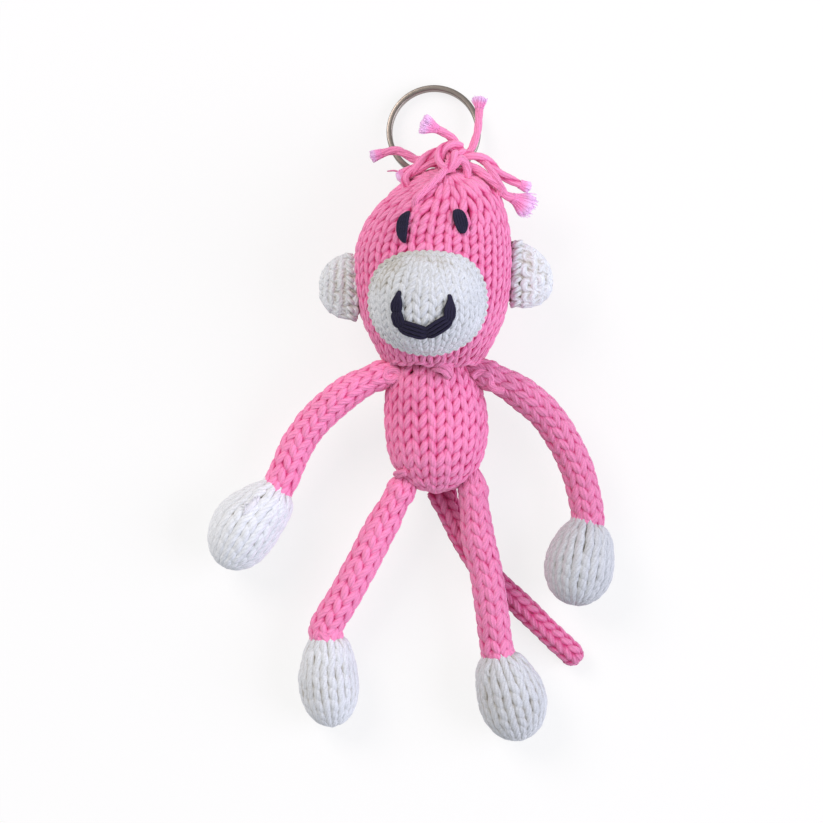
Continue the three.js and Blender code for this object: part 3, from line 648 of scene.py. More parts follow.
def coverOf(surface, low, high):
    # points spread over a form, each with the direction away from it
    distance, angle = np.meshgrid(np.linspace(low, high, 90), np.arange(120) / 120 * turn, indexing="ij")
    distance, angle = distance.ravel(), angle.ravel()
    return surface(distance, angle), awayFrom(surface, distance, angle)


def offCover(cover, places):
    # how far each place stands off a form, and the direction away from it, both at its nearest point
    points, away = cover
    near = np.argmin(((places[:, None] - points[None])**2).sum(-1), 1)
    return np.sum((places - points[near]) * away[near], 1), away[near]


def keepOff(cover, path, clear):
    # moves places out until they are clear of the form
    moved = path.copy()
    for _ in range(4):
        depth, away = offCover(cover, moved)
        moved += away * np.maximum(clear - depth, 0)[:, None]
    return moved


headCover = coverOf(headSurface, 1, 50.9)
bodyCover = coverOf(bodySurface, 1, 34.4)


# limbs

# ball is the round sewn end of a tube, root and width its widths there and beyond the swell; sewn is how
# much of its cover lies inside the body and drawn how narrow that gets
limb = {"ball": 8.4, "ballSink": 1.4, "root": 7.4, "width": 9, "swell": 12, "shoulderDrop": 4.6,
        "shoulderAngle": 15 / 360 * turn, "wristLength": 2.6, "gap": 0.3, "mouth": 4.4, "rise": 1.6,
        "power": 2.1, "sewn": 6, "drawn": 2.6, "shadeLining": 2.6, "curlYarn": 2.2, "curlLift": 2.8, "bendFrom": 2,
        "bendTo": 6}
seat = limb["ball"] / 2 - limb["ballSink"]


def shoulder(side):
    # the middle of an arm's sewn end, on the body's side
    angle = limb["shoulderAngle"] if side > 0 else turn / 2 - limb["shoulderAngle"]
    at = np.array([limb["shoulderDrop"]]), np.array([angle])
    return (bodySurface(*at) + awayFrom(bodySurface, *at) * seat)[0]


def below(x, z, clear):
    # the place below the body, at its own place across and up, that just lies clear of it, found by halving
    far, near = -2 * body["length"], -body["length"] / 2
    for _ in range(30):
        half = (far + near) / 2
        depth, _ = offCover(bodyCover, (origin + [x, half, z])[None])
        if depth[0] > clear:
            far = half
        else:
            near = half
    return origin + [x, far, z]


# for each limb: its sewn end, route and shade of tube, and the size, direction, lean, shade and holes of
# the hand or foot knitted on it, and how far its stitches stand out; the arms also have a curled yarn end.
# Both shades are painted light and shade: the tones are set higher mostly on the left and lower on the
# right, as the pieces are lit.
limbs = {
    "left_arm": {
        "centre": shoulder(-1), "end": "left_hand", "width": 17.6, "length": 24.2, "heading": -30, "dip": 0,
        "lean": -2.2, "shade": 0.08, "tubeShade": 0.1, "proud": 0.35, "holes": [
            [-45.2, -35.6, 0.9], [-41, -38.1, 0.5], [-42.4, -42.9, 0.5], [-52.4, -44, 0.5],
            [-55, -43.9, 0.5]],
        "curl": [[-8.2, -5.2], [-8.8, -3.2], [-10.2, -2.3], [-12, -2.6], [-12.6, -4.2], [-11, -5.2],
                 [-9.4, -4.4], [-8.6, -5.6]],
        "route": [[0, 0, 0], [-7, -3.4, -0.6], [-15.4, -10.2, -2.8], [-21.6, -18.4, -4.8],
                  [-25.6, -27.6, -6.2]],
    },
    "right_arm": {
        "centre": shoulder(1), "end": "right_hand", "width": 18, "length": 21.4, "heading": -7, "dip": 0,
        "lean": -0.5, "shade": -0.24, "tubeShade": -0.15, "proud": 0.35, "holes": [
            [40, -48.5, 0.8], [37.5, -52.6, 0.8], [33.4, -54.2, 0.6], [39.7, -45.2, 0.6], [37.5, -58.3, 0.6]],
        "curl": [[10.2, -4.2], [11.6, -3.2], [13.6, -3.2], [15.2, -4.6], [15, -6.2], [16.6, -7.6],
                 [18.6, -7.8]],
        "route": [[0, 0, 0], [7.6, -4, -0.6], [16, -11.4, -2.8], [23.2, -24, -5.2], [26.3, -36.4, -6.6]],
    },
    "left_leg": {
        "centre": below(-8.6, 12.1, seat), "end": "left_foot", "width": 16, "length": 23.8, "heading": 5,
        "dip": 8, "lean": -0.6, "shade": -0.03, "tubeShade": 0.04, "proud": 0.1, "holes": [
            [-31.2, -78.5, 0.7], [-24.4, -80, 0.6], [-26, -82.9, 0.5], [-30.1, -83.4, 0.4],
            [-28.1, -84.4, 0.4], [-33.4, -87.1, 0.4], [-29.6, -88.8, 0.4], [-24.8, -88.8, 0.5]],
        "route": [[0, 0, 0], [-5, -9.2, -0.6], [-13.8, -25.8, -1.7], [-19.6, -35.6, -2.4]],
    },
    "right_leg": {
        "centre": below(10.6, 12.6, seat), "end": "right_foot", "width": 18.2, "length": 23.6, "heading": 13,
        "dip": 9, "lean": 1, "shade": -0.18, "tubeShade": -0.1, "proud": 0.1, "holes": [
            [15.6, -81.4, 0.9], [15, -83.6, 0.7], [14.6, -87.7, 0.6], [21.1, -81.4, 0.6], [22.2, -83.6, 0.5],
            [20.7, -86.5, 0.5], [18.9, -88.2, 0.4], [18, -93, 0.5], [24.5, -89.8, 0.5], [23.2, -95.4, 0.5]],
        "route": [[0, 0, 0], [1.2, -11.4, -0.4], [3.9, -24.2, -1], [6, -40.4, -1.8]],
    },
}
limbKnit = {"yarn": 2.2, "wale": 4.6, "heads": -1, "angle": 0.7, "row": 3.4, "wales": 6, "proud": 0.05,
            "swing": 0.26, "bias": 0.015, "deepen": -0.03}
handKnit = {"yarn": 2.65, "wale": 5.2, "heads": -1, "swing": 0.15, "bias": 0.03, "dip": 0.2, "reach": 1.1}
handWales = [8, 10] + [11] * 5 + [9, 6]
handEnd = {"yarn": 2.2, "shadeLining": 2.4, "filling": 3.4}


def wisp(cover, first, last):
    # a little of the filling that has worked its way out between two ropes of stitches
    s = np.linspace(0, 1, 14)
    flat = mix(np.array(first)[None], np.array(last)[None], s[:, None]) + origin[:2]
    points, away = cover
    top = points[away[:, 2] > 0.2]
    near = np.argmin(((flat[:, None] - top[None, :, :2])**2).sum(-1), 1)
    path = np.column_stack([flat, top[near, 2] - 0.6])
    across = np.tile(unit(np.cross(path[-1] - path[0], [0, 0, 1])), (14, 1))
    upright = np.array([0, 0, 1.0])
    core = tubePart(path, np.tile(upright, (len(s), 1)), 1.15 * np.sqrt(np.sin(0.1 + 2.94 * s)), 10)
    parts = [core]
    for _ in range(70):
        start = chance.integers(0, 9)
        run = path[start:start + 6]
        bend = np.linspace(-1, 1, len(run))[:, None]
        fibre = run + across[:len(run)] * (bend * chance.normal(0, 0.7) + chance.uniform(-0.8, 0.8))
        fibre[:, 2] += chance.uniform(0.4, 1.05) - 0.35 * bend[:, 0]**2
        parts.append(tubePart(fibre, np.tile(upright, (len(run), 1)), 0.09, 4))
    return parts


def addTube(name, one, line, length):
    # an arm or a leg, blended over its sewn end, which is drawn together inside the body
    rootBall = limb["ball"] / 2

    def half(distance):
        tube = mix(limb["root"], limb["width"], smooth(distance / limb["swell"])) / 2
        ball = np.sqrt(np.maximum(rootBall**2 - distance**2, 0))
        inside = mix(rootBall, limb["drawn"], smooth(-distance / limb["sewn"]))
        return np.where(distance < 0, inside, np.maximum(tube, ball))

    surface = sectionSurface((line, length), None, [0, 0, 1], half, half)
    rows = round((length + limb["sewn"] + 1) / limbKnit["row"])
    settings = dict(limbKnit, shade=one["tubeShade"])
    parts = [knit(surface, -limb["sewn"], length + 1, [limbKnit["wales"]] * rows, settings),
             shadeLining(surface, -limb["sewn"], length, limb["shadeLining"], 60, 24)]
    if "curl" in one:
        # the yarn end with which the shoulder was gathered, curled on top of it
        curl = np.column_stack([one["curl"], np.full(len(one["curl"]), one["centre"][2] + limb["curlLift"])])
        parts += twisted(curve(curl + [origin[0], origin[1], 0], 60)[0], limb["curlYarn"])
    piece = makePiece(name + "Knit", parts, pinkYarn, None, name + "_knit")
    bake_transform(piece)


def addHand(name, one, start, axis):
    # a hand or a foot: a round-ended bulb, straight but for its lean, drawn together at the end
    length = one["length"]
    across = unit(np.cross(axis, [0, 0, 1]))
    form = {"mouth": limb["mouth"], "radius": one["width"] / 2, "waist": length / 2, "length": length,
            "rise": limb["rise"], "power": limb["power"]}
    wide = lambda distance: bulbRadius(form, np.clip(distance, 0, length))
    reach = np.linspace(0, length, 120)[:, None]
    aside = across * (-one["lean"] * smooth(reach / form["waist"]))
    surface = sectionSurface((start + axis * reach + aside, length), across, [0, 0, 1], wide, wide)
    settings = dict(handKnit, shade=one["shade"], holes=one["holes"], proud=one["proud"])
    cover = [knit(surface, -1.5, length - 0.06, handWales, settings),
             shadeLining(surface, 0.2, length - 0.8, handEnd["shadeLining"], 36, 40)]
    cover += drawnEnd(surface, length, handEnd["yarn"])
    end = one["end"]
    makePiece(end + "Knit", cover, creamYarn, name, end + "_knit")
    inside = [filling(surface, 1, length - 4, handEnd["filling"], 1.2, 30, 36)]
    if name == "left_arm":
        inside += wisp(coverOf(surface, 0.5, length - 1), [-45.6, -35.8], [-49.8, -40.6])
    makePiece(end + "Filling", inside, whiteFibre, name, end + "_stuffing")


def addLimb(name, one):
    heading, dip = math.radians(one["heading"] - 90), math.radians(one["dip"])
    axis = np.array([math.cos(heading) * math.cos(dip), math.sin(heading) * math.cos(dip), -math.sin(dip)])
    points = np.array(one["route"]) + one["centre"]
    points = np.vstack([points, points[-1] + axis * limb["wristLength"]])
    line, length = curve(points, 160)
    addTube(name, one, line, length)
    addHand(name, one, line[-1] + axis * limb["gap"], axis)


for name, one in limbs.items():
    addLimb(name, one)

tail = {"width": 6.5, "tip": 6.2, "ball": 6.5, "sink": 0.8, "x": 2.1, "row": 2.9, "wales": 4, "swell": 0.7,
        "swellLength": 6, "shadeLining": 1.9, "bendFrom": 1.5, "bendTo": 4,
        "route": [[0, 0, 0], [3.4, -7.8, 0], [10.2, -19.6, 0], [21.8, -31, 0], [36.9, -45.6, 0]]}
# the tail's shade and deepen are painted shade: the whole tail darker, and darker still between its stitches
tailKnit = {"yarn": 2.05, "wale": 4.5, "heads": -1, "angle": 0.9, "proud": 0.3, "shade": -0.2, "swing": 0.24,
            "bias": 0.02, "deepen": 0.38}


def addTail():
    # a thinner tube with a round tip, blended over its sewn end
    root = below(tail["x"], tail["width"] / 2, tail["ball"] / 2 - tail["sink"])
    line, length = curve(np.array(tail["route"]) + root, 160)
    tip = tail["tip"] / 2

    def half(distance):
        swell = tail["swell"] * (1 - smooth(distance / tail["swellLength"]))
        tube = mix(tail["width"], tail["tip"], distance / length) / 2 + swell
        ball = np.sqrt(np.maximum((tail["ball"] / 2)**2 - distance**2, 0))
        beyond = np.clip(distance - (length - tip), 0, tip)
        roundTip = np.sqrt(np.maximum(tip**2 - beyond**2, 0))
        return np.where(distance < 0, ball, np.where(beyond > 0, roundTip, tube))

    surface = sectionSurface((line, length), None, [0, 0, 1], half, half)
    rows = round((length + 2.6) / tail["row"])
    parts = [knit(surface, -2.4, length - 0.2, [tail["wales"]] * rows, tailKnit),
             shadeLining(surface, -2.2, length - 1, tail["shadeLining"], 70, 20)]
    piece = makePiece("tailKnit", parts, pinkYarn, None, "tail_knit")
    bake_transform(piece)


addTail()
print("limbs and tail knitted")


# muzzle: a square of flat knitting, worked to and fro, rounded off and sewn over the lower face

muzzle = {"x": -1.4, "y": 15.5, "half": [15.0, 13.8, 13.3], "sink": 6.4, "wales": 11, "rows": 15, "edge": 0.3,
          "yarn": 1.95, "dip": 0.17, "proud": 0.2, "knots": 46, "upperRight": 0.07, "upperLeft": 0.045,
          "lower": 0.02, "shadeLining": 1.8, "filling": 3.2,
          "holes": [[-11.8, 24.5, 0.5], [-7.6, 23.8, 0.5], [-1, 25.1, 0.5], [-0.8, 21.8, 0.6],
                    [4.3, 24.5, 0.5], [6.3, 18.6, 0.5]],
          "paintedShade": [[-9.6, 24.4, 3.4], [-3, 26.4, 2.6], [1.4, 24.8, 2.4], [-13.4, 19.6, 3]]}
lowerFace = frontOf(head, headSurface, np.array([muzzle["x"]]), np.array([muzzle["y"]]), 0)[0]
lowerFace[2] -= muzzle["sink"]


def domeReach():
    # for each direction on the dome, how far down its side the head begins, evened out over its neighbours
    around = np.arange(73) / 72 * turn
    down = np.radians(np.linspace(30, 90, 121))
    psi, phi = np.meshgrid(around, down, indexing="ij")
    a, b, c = muzzle["half"]
    x = lowerFace[0] + a * np.sin(phi) * np.cos(psi)
    y = lowerFace[1] + b * np.sin(phi) * np.sin(psi)
    z = lowerFace[2] + c * np.cos(phi)
    local = frontOf(head, headSurface, x - origin[0], np.maximum(y - origin[1], 0.3), 0)
    clear = z - local[..., 2] > -muzzle["edge"]
    reach = np.where(clear.all(1), down[-1], down[np.argmin(clear, 1)])
    window = np.array([1, 2, 3, 2, 1]) / 9
    wrapped = np.concatenate([reach[-3:-1], reach, reach[1:3]])
    return around, np.convolve(wrapped, window, "valid")


muzzleReach = domeReach()


def onDome(x, y, lift):
    # x and y of the unit disc, bent over the dome as far as the head
    psi = np.arctan2(y, x) % turn
    phi = np.hypot(x, y) * np.interp(psi, *muzzleReach)
    a, b, c = muzzle["half"]
    ball = np.stack([np.sin(phi) * np.cos(psi), np.sin(phi) * np.sin(psi), np.cos(phi)], -1)
    normal = unit(ball / [a, b, c])
    place = ball * [a, b, c] + normal * np.asarray(lift)[..., None]
    # the upper corners, the right one above all, aren't drawn in so far
    upper = np.where(psi < turn / 4, muzzle["upperRight"], muzzle["upperLeft"])
    share = np.where(psi < turn / 2, upper, muzzle["lower"])
    corner = 1 + share * np.sin(2 * psi)**2 * smooth(np.hypot(x, y))
    return lowerFace + place * np.stack([corner, corner, np.ones_like(corner)], -1), normal


def muzzleKnit():
    # stitches as in knit, but in rows worked to and fro over a square, whose corners are drawn in to a disc
    wales, rows, yarn = muzzle["wales"], muzzle["rows"], muzzle["yarn"]
    steps, sides = plainKnit["steps"], plainKnit["sides"]
    total = wales * rows
    worked = np.arange(total * steps + 1) / steps
    row = np.minimum((worked // wales).astype(int), rows - 1)
    inRow = worked - row * wales
    t = worked * turn
    swing = 0.24 + 0.03 * np.sin(t)
    x = inRow + swing * np.sin(2 * t) + jitter(total, 0.04, worked)
    x = np.where(row % 2 == 0, x, wales - x)
    height = row + 0.5 + np.cos(t) + jitter(total, 0.06, worked)
    gridX = np.clip(x / wales * 2 - 1, -1, 1) * 0.985
    gridY = np.clip(height / rows * 2 - 1, -1, 1) * 0.985
    discX = gridX * np.sqrt(1 - gridY**2 / 2)
    discY = gridY * np.sqrt(1 - gridX**2 / 2)
    crowd = 1 - 0.28 * np.clip(np.abs(gridX * gridY) * 1.3, 0, 1)
    radius = yarn / 2 * crowd * (1 - 0.12 * np.cos(2 * t) + jitter(total, 0.03, worked))
    inset = yarn / 2 + muzzle["dip"] * yarn * (1 + np.cos(2 * t)) - muzzle["proud"]
    inset = inset - jitter(total, 0.07, worked)
    path, normal = onDome(discX, discY, -inset)
    part = tubePart(opened(path, muzzle["holes"]), normal, radius, sides, 0.9)
    # painted shade: coloured darker the deeper the yarn lies and on its inner side
    depth = (inset[:, None] - radius[:, None] * part["height"][None]) / (yarn * 1.8)
    for x, y, size in muzzle["paintedShade"]:
        # painted shade: places along the upper left, a little darker and browner
        depth += 0.11 * np.exp(-np.sum((path[:, :2] - origin[:2] - [x, y])**2, 1) / size**2)[:, None]
    part["deep"] = spread(np.clip(depth, 0, 1))
    # painted shade: the whole muzzle's tone set a little low
    part["tone"] = spread(np.repeat(0.4 + jitter(total, 0.02, worked), sides))
    return part


def muzzleEdge():
    # the cast-on and side edges, a row of knots all round, whipped down to the head
    knots = muzzle["knots"]
    s = np.arange(knots * 12 + 1) / 12
    psi = s / knots * turn
    swell = np.abs(np.sin(s * turn / 2))
    reach = 0.965 + 0.012 * np.sin(s * turn)
    lift = -0.25 + 0.3 * np.sin(s * turn + 1)
    path, normal = onDome(np.cos(psi) * reach, np.sin(psi) * reach, lift)
    part = tubePart(path, normal, 0.75 + 0.26 * swell + jitter(knots, 0.05, s), 8, 0.9)
    # painted shade: the upper left of the edge is a little darker and browner; painted light: the knots are
    # coloured lighter where they swell out
    paintedShade = np.maximum(np.cos(psi - 2.3), 0)**3  # the upper left is a little browner
    part["deep"] = spread(np.repeat(0.12 + 0.08 * paintedShade - 0.1 * swell, 8))
    # painted shade: the edge's tone set a little low, as the muzzle's
    part["tone"] = np.full(len(part["points"]), 0.44)
    return part


def domeShell(inset, rows=26, columns=48):
    # a closed skin a given depth inside the dome, with a flat back a little behind its rim
    around = np.arange(columns) / columns * turn
    rho, psi = np.meshgrid(np.linspace(0.02, 1.04, rows), around, indexing="ij")
    top, _ = onDome(rho * np.cos(psi), rho * np.sin(psi), np.full(rho.shape, -inset))
    back = top[-1] - [0, 0, 1.5]
    part = facingOut(capped(np.concatenate([top, back[None]]), top[0].mean(0), back.mean(0)))
    # painted shade: coloured dark, as the back of the fabric seen in shadow between the stitches
    part["deep"] = np.full(len(part["points"]), 0.95)
    return part


muzzleParts = [muzzleKnit(), muzzleEdge(), domeShell(muzzle["shadeLining"])]
makePiece("muzzleKnit", muzzleParts, creamYarn, "head", "muzzle_knit")
muzzleFibre = [domeShell(muzzle["filling"], 18, 36)]
makePiece("muzzleFilling", muzzleFibre, whiteFibre, "head", "muzzle_stuffing")
print("muzzle knitted")


# ears: small half rounds, purl side out, sewn on by their straight edge

ear = {"height": 17.4, "thickness": 5.6, "root": 4.2, "sink": 1.4, "wales": [13, 13, 13, 12, 9]}
ears = {"left_ear": {"side": -1, "y": 19.4, "out": 8.6, "droop": 0},
        "right_ear": {"side": 1, "y": 22.8, "out": 9.8, "droop": 2}}
# the ears' shade is painted light: the ears a little lighter
earKnit = {"yarn": 2.1, "wale": 3.4, "heads": 1, "front": -1, "dip": 0.03, "late": 1, "angle": 0.3,
           "swing": 0.2, "loose": 1.6, "proud": 0.1, "shade": 0.04}
whip = {"count": 9, "reach": 1.25, "slant": 0.9, "radius": 0.66, "height": 2.6, "arch": 1.7}


def whipStitches(hinge, side):
    # short slanted stitches over the sewn edge, half in the ear and half in the head
    parts = []
    s = np.linspace(-1, 1, 12)
    radius = whip["radius"] * np.sqrt(1 - 0.5 * s**4)
    for y in np.linspace(-0.45, 0.45, whip["count"]) * ear["height"]:
        x = side * (0.3 + whip["reach"] * s)
        z = whip["height"] * math.sqrt(1 - (y / ear["height"] * 1.9)**2) - whip["arch"] * s * s
        path = hinge + np.stack([x, y + whip["slant"] * s + chance.normal(0, 0.2), z], 1)
        parts.append(yarnPart(path, np.tile([0, 0, 1.0], (len(s), 1)), radius, 8, 0.22, 0.18))
    return parts


def addEar(name, side, y, out, droop):
    # half an oval, purl side out, that stands out from the side of the head and may droop towards the feet
    at = np.array([y - seatGap / 2]), np.array([0.0 if side > 0 else turn / 2])
    hinge = (headSurface(*at) + awayFrom(headSurface, *at) * (ear["root"] / 2 - ear["sink"]))[0]
    hinge[1] = origin[1] + y
    reach = np.linspace(0, out, 60)[:, None]
    line = hinge + np.array([side, -droop / out, 0]) * reach
    full = lambda distance: np.sqrt(np.maximum(1 - (np.clip(distance, 0, out) / out)**2, 0))
    wide = lambda distance: ear["height"] / 2 * full(distance)**0.9 + 0.05
    deep = lambda distance: ear["thickness"] / 2 * full(distance)**0.8 + 0.05
    surface = sectionSurface((line, out), [0, 1, 0], [0, 0, 1], wide, deep)
    parts = [knit(surface, -1, out - 0.3, ear["wales"], earKnit),
             shadeLining(surface, -1.3, out - 0.8, 1.0, 20, 40, 0.2)]
    makePiece(name + "Knit", parts + whipStitches(hinge, side), creamYarn, name, name)


for name, one in ears.items():
    addEar(name, **one)
print("ears knitted")


# topknot: loose yarn with frayed ends

fray = {"fibre": 0.17, "count": 80, "tone": 0.56}


def tuft(path, narrow, wide):
    # a soft brush: a flared core with a round end, and fibres laid over it that end a little beyond
    tangent, across, up = carried(path)
    length = lengthsAlong(path)[-1]
    share = np.linspace(0, 1, len(path))
    flare = mix(narrow, wide, smooth(share * 1.25)) / 2
    core = tubePart(path, up, flare * 0.94 * np.sqrt(1 - np.clip(share - 0.72, 0, 0.28)**2 * 11), 14)
    core["deep"] = spread(np.repeat(mix(0.16, 0.0, smooth(share * 1.5 - 0.4)), 14), 0.0)
    core["tone"] = np.full(len(core["points"]), fray["tone"])
    parts = [core]
    for _ in range(fray["count"]):
        angle = chance.uniform(0, turn)
        out = math.sqrt(chance.uniform(0.6, 1.0))
        run = chance.uniform(0.9, 1.1)
        drift = chance.normal(0, 0.12, 2)
        aside = np.cos(angle) * across + np.sin(angle) * up
        fibre = path + aside * (flare * out)[:, None]
        fibre = fibre + (across * drift[0] + up * drift[1]) * (share**2)[:, None] * length * 0.4
        fibre = fibre + tangent * (share**2 * (run - 1) * length - 0.7 * out**2 * share**3)[:, None]
        fibre[:, 2] = np.maximum(fibre[:, 2], above["fibre"])
        part = tubePart(fibre, aside, fray["fibre"] * (1 - 0.35 * share), 5)
        paling = smooth(share * 1.5 - 0.4 + chance.normal(0, 0.08))
        part["deep"] = spread(np.repeat(mix(0.16, 0.0, paling), 5), 0.0)
        part["tone"] = np.full(len(part["points"]), fray["tone"] + chance.normal(0, 0.015))
        parts.append(part)
    for part in parts:
        part["frayed"] = 1
    return parts


# Each strand has its widths at both ends and its route from the top of the crown. A strand with a node is one
# more piece of that node's yarn, fray is how much of its end is frayed, and tuft how wide that gets.
crown = origin + [head["lean"], seatGap / 2 + head["length"], 18.3]
topknot = {
    "topknot_loop": {"width": [2.9, 2.9], "route": [
        [1.6, 4.4, 4.6], [-0.8, 5.1, 6.2], [-3.2, 3.7, 7], [-3.9, 1, 7.6], [-2.5, -1.4, 8.4],
        [-0.8, 0.4, 8.6], [0.1, 3, 8], [1.2, 4.2, 6.6]]},
    "topknot_lobe": {"node": "topknot_loop", "width": [2.4, 2.4], "route": [
        [-2.2, -2.2, 7.4], [-0.2, -0.4, 8.4], [1.4, 1.2, 8.2], [2.9, 0, 7.2], [3.2, -2.2, 6.2],
        [3.3, -3.6, 6.4]]},
    "topknot_core": {"node": "topknot_loop", "width": [2.8, 2.8], "route": [
        [-1.8, 3.6, 5.4], [-1.2, 2.2, 6.2], [-0.9, 0.6, 6.6], [-0.7, -1, 6.4]]},
    "topknot_back": {"node": "topknot_loop", "width": [3, 3], "route": [
        [-3, 3.2, 4.4], [-1, 2.3, 5], [1, 2.6, 5], [2.8, 3.4, 4.2]]},
    "hair_fold": {"width": [3.2, 3.6], "tuft": 3.2, "fray": 1.6, "route": [
        [0.4, 5.5, 3.4], [-3, 4, 3.4], [-6.6, 1.9, 3.6], [-10.2, -0.9, 3.8], [-12.6, -3.2, 3.6],
        [-14.2, -5.2, 3.6]]},
    "hair_wisp": {"node": "hair_fold", "free": True, "width": [0.9, 0.35], "route": [
        [-11.8, -3, 3.8], [-13.6, -2.6, 3.6], [-15.4, -1.6, 3.2], [-17.6, -1.7, 2.8]]},
    "crown_stitch": {"node": "hair_fold", "width": [2.8, 2.6], "route": [
        [-2.6, 0.8, 4.6], [-5.4, -0.3, 4], [-8.4, -1.9, 3.8], [-11, -4, 4.4], [-12.8, -6.6, 6]]},
    "hair_left": {"width": [2.6, 2.3], "tuft": 3, "fray": 2.6, "route": [
        [-2.6, 3.2, 1.4], [-5.6, 1.7, 0], [-9.6, 1.5, -2.8], [-12.8, 3.2, -3.6], [-15.9, 4.1, -4.2],
        [-22.3, 2.4, -5.4]]},
    "hair_front": {"width": [2.2, 2], "route": [
        [-2.2, -2, 7.8], [-4.4, -4.2, 11], [-7.2, -7, 13.1], [-9.6, -9.2, 14], [-11.6, -11, 14.4]]},
    "hair_ring": {"width": [2.4, 2.3], "tuft": 5.2, "fray": 4.2, "route": [
        [1.8, 3.4, 3], [0.7, 5.2, 3], [-1.2, 7.4, 3.8], [-4.6, 9.2, 5], [-8.9, 10.9, 5]]},
    "hair_top": {"width": [2.1, 2.1], "tuft": 3.7, "fray": 2.8, "route": [
        [3.4, 2.6, 3.6], [4.6, 4.4, 3], [6, 8.4, 2.6], [6.5, 12.9, 1.2], [6.7, 18.2, -0.4]]},
    "hair_right": {"width": [3.3, 2.4], "tuft": 3, "fray": 2.4, "route": [
        [1.4, 2.6, 4.4], [3.8, 2.4, 4.6], [6.9, 1.7, 4.6], [10, -0.3, 3.4], [13.2, -3, 1.4],
        [20.2, -6.2, -1.4]]},
    "hair_side": {"width": [2.5, 2.5], "tuft": 6.4, "fray": 5.6, "route": [
        [2.8, -0.6, 4.4], [5, -2.3, 4.2], [7.8, -4.5, 4.6], [12.4, -7.4, 2.4], [16.2, -9, 0],
        [20.6, -11.4, -2]]},
    "hair_short": {"width": [1.9, 1.9], "route": [
        [6.8, 2.0, 3.4], [8.7, -0.4, 5.0], [10.6, -3, 5.2], [12.2, -5.6, 4.2], [13.4, -7.4, 2.8]]},
}


def strandParts(one):
    # kept off the head but for the sunk end of a strand that is sewn in, and frayed over its last stretch
    line, _ = curve(np.array(one["route"]) + crown, 70)
    line = keepOff(headCover, line, one["width"][0] / 2 - 0.1)
    if "tuft" not in one and "free" not in one:
        _, away = offCover(headCover, line)
        line = line - away * (3 * smooth(np.linspace(-5, 1, 70)))[:, None]
    line, length = curve(line[::4], 100)
    kept = 100 - round(100 * one.get("fray", 0) / length)
    width = mix(*one["width"], np.linspace(0, 1, kept))
    parts = twisted(line[:kept], width, 2 if one["width"][0] > 2.7 else 4)
    if "tuft" in one:
        brush, _ = curve(line[kept - 4:], 12)
        parts += tuft(brush, one["width"][1], one["tuft"])
    return parts


for name in topknot:
    if "node" not in topknot[name]:
        strands = [one for other, one in topknot.items() if name in (other, one.get("node"))]
        parts = [part for one in strands for part in strandParts(one)]
        makePiece(name + "Yarn", parts, pinkYarn, "head", name)
print("topknot ready")


# face: short navy stitches laid side by side

def onMuzzle(xy):
    # a place on the muzzle's dome right and up of its middle, and the direction away from it
    a, b, c = muzzle["half"]
    x, y = xy[:, 0], xy[:, 1]
    z = c * np.sqrt(1 - (x / a)**2 - (y / b)**2)
    return np.stack([x, y, z], 1) + lowerFace, unit(np.stack([x / a**2, y / b**2, z / c**2], 1))


mouth = {"route": [[-7.4, 1.6], [-8.0, -3.2], [-6.9, -6.6], [-0.4, -8.6], [5.3, -5.1], [5.5, 0.6]],
         "widths": [2.7, 2.8, 3.5, 3.5, 2.9], "strands": 4, "thick": 1.05, "arch": 0.55}


def mouthStitches():
    # along each side of the route a few arched strands, which draw together where the line starts and ends
    corners = np.array(mouth["route"])
    parts = []
    for n, (first, last) in enumerate(zip(corners[:-1], corners[1:])):
        direction = unit(last - first)
        side = np.array([-direction[1], direction[0]])
        for k in range(mouth["strands"]):
            off = (k - (mouth["strands"] - 1) / 2) / mouth["strands"] * mouth["widths"][n]
            s = np.linspace(-0.06, 1.06, 16)[:, None]
            point = s if n == 0 else 1 - s if n == len(corners) - 2 else 1
            off = off * (1 - 0.3 * (2 * s - 1)**4) * (0.15 + 0.85 * smooth(point * 1.6))
            path, normal = onMuzzle(first + (last - first) * s + side * off)
            path = path + normal * (mouth["arch"] * (1 - (2 * s - 1)**4) + 0.1)
            parts.append(yarnPart(path, normal, mouth["thick"] / 2, 8, 0.2, 0.2))
    return parts


makePiece("mouthStitches", mouthStitches(), navyYarn, "head", "mouth_yarn")

# full tells how far to the right the longest stitch lies, blunt how round the upper end is
eyes = {"left_eye": {"x": -7.6, "y": 36, "height": 11, "width": 2.8, "tilt": 9, "full": 0.43, "blunt": 0.9},
        "right_eye": {"x": 7.3, "y": 38, "height": 9.1, "width": 3.4, "tilt": -4, "full": 0, "blunt": 0.7}}
eyeStitch = {"count": 5, "radius": 0.44, "lift": 0.1, "arch": 0.45}


def eyeStitches(one):
    # satin stitch: upright stitches side by side that meet at both ends of the eye
    parts = []
    s = np.linspace(-1, 1, 20)
    fullest = one["full"] * one["width"]
    for k in range(eyeStitch["count"]):
        off = (k - (eyeStitch["count"] - 1) / 2) / eyeStitch["count"] * one["width"]
        share = (off / one["width"] - one["full"]) / (0.5 + one["full"])
        tall = one["height"] / 2 * (1 - 0.16 * share**2) - 0.3
        drawn = np.sqrt(1 - np.where(s > 0, one["blunt"], 0.9) * s**2)
        x = one["x"] + fullest + (off - fullest) * drawn + s * tall * math.tan(math.radians(one["tilt"]))
        y = one["y"] + s * tall
        path = frontOf(head, headSurface, x, y, eyeStitch["lift"] + eyeStitch["arch"] * (1 - s**4))
        normal = unit(path - frontOf(head, headSurface, x, y, -3))
        parts.append(yarnPart(path, normal, eyeStitch["radius"], 8, 0.2, 0.2))
    return parts


for name, one in eyes.items():
    makePiece(name + "Stitches", eyeStitches(one), navyYarn, "head", name)
print("face ready")


# knots where the sewing yarn was fastened off

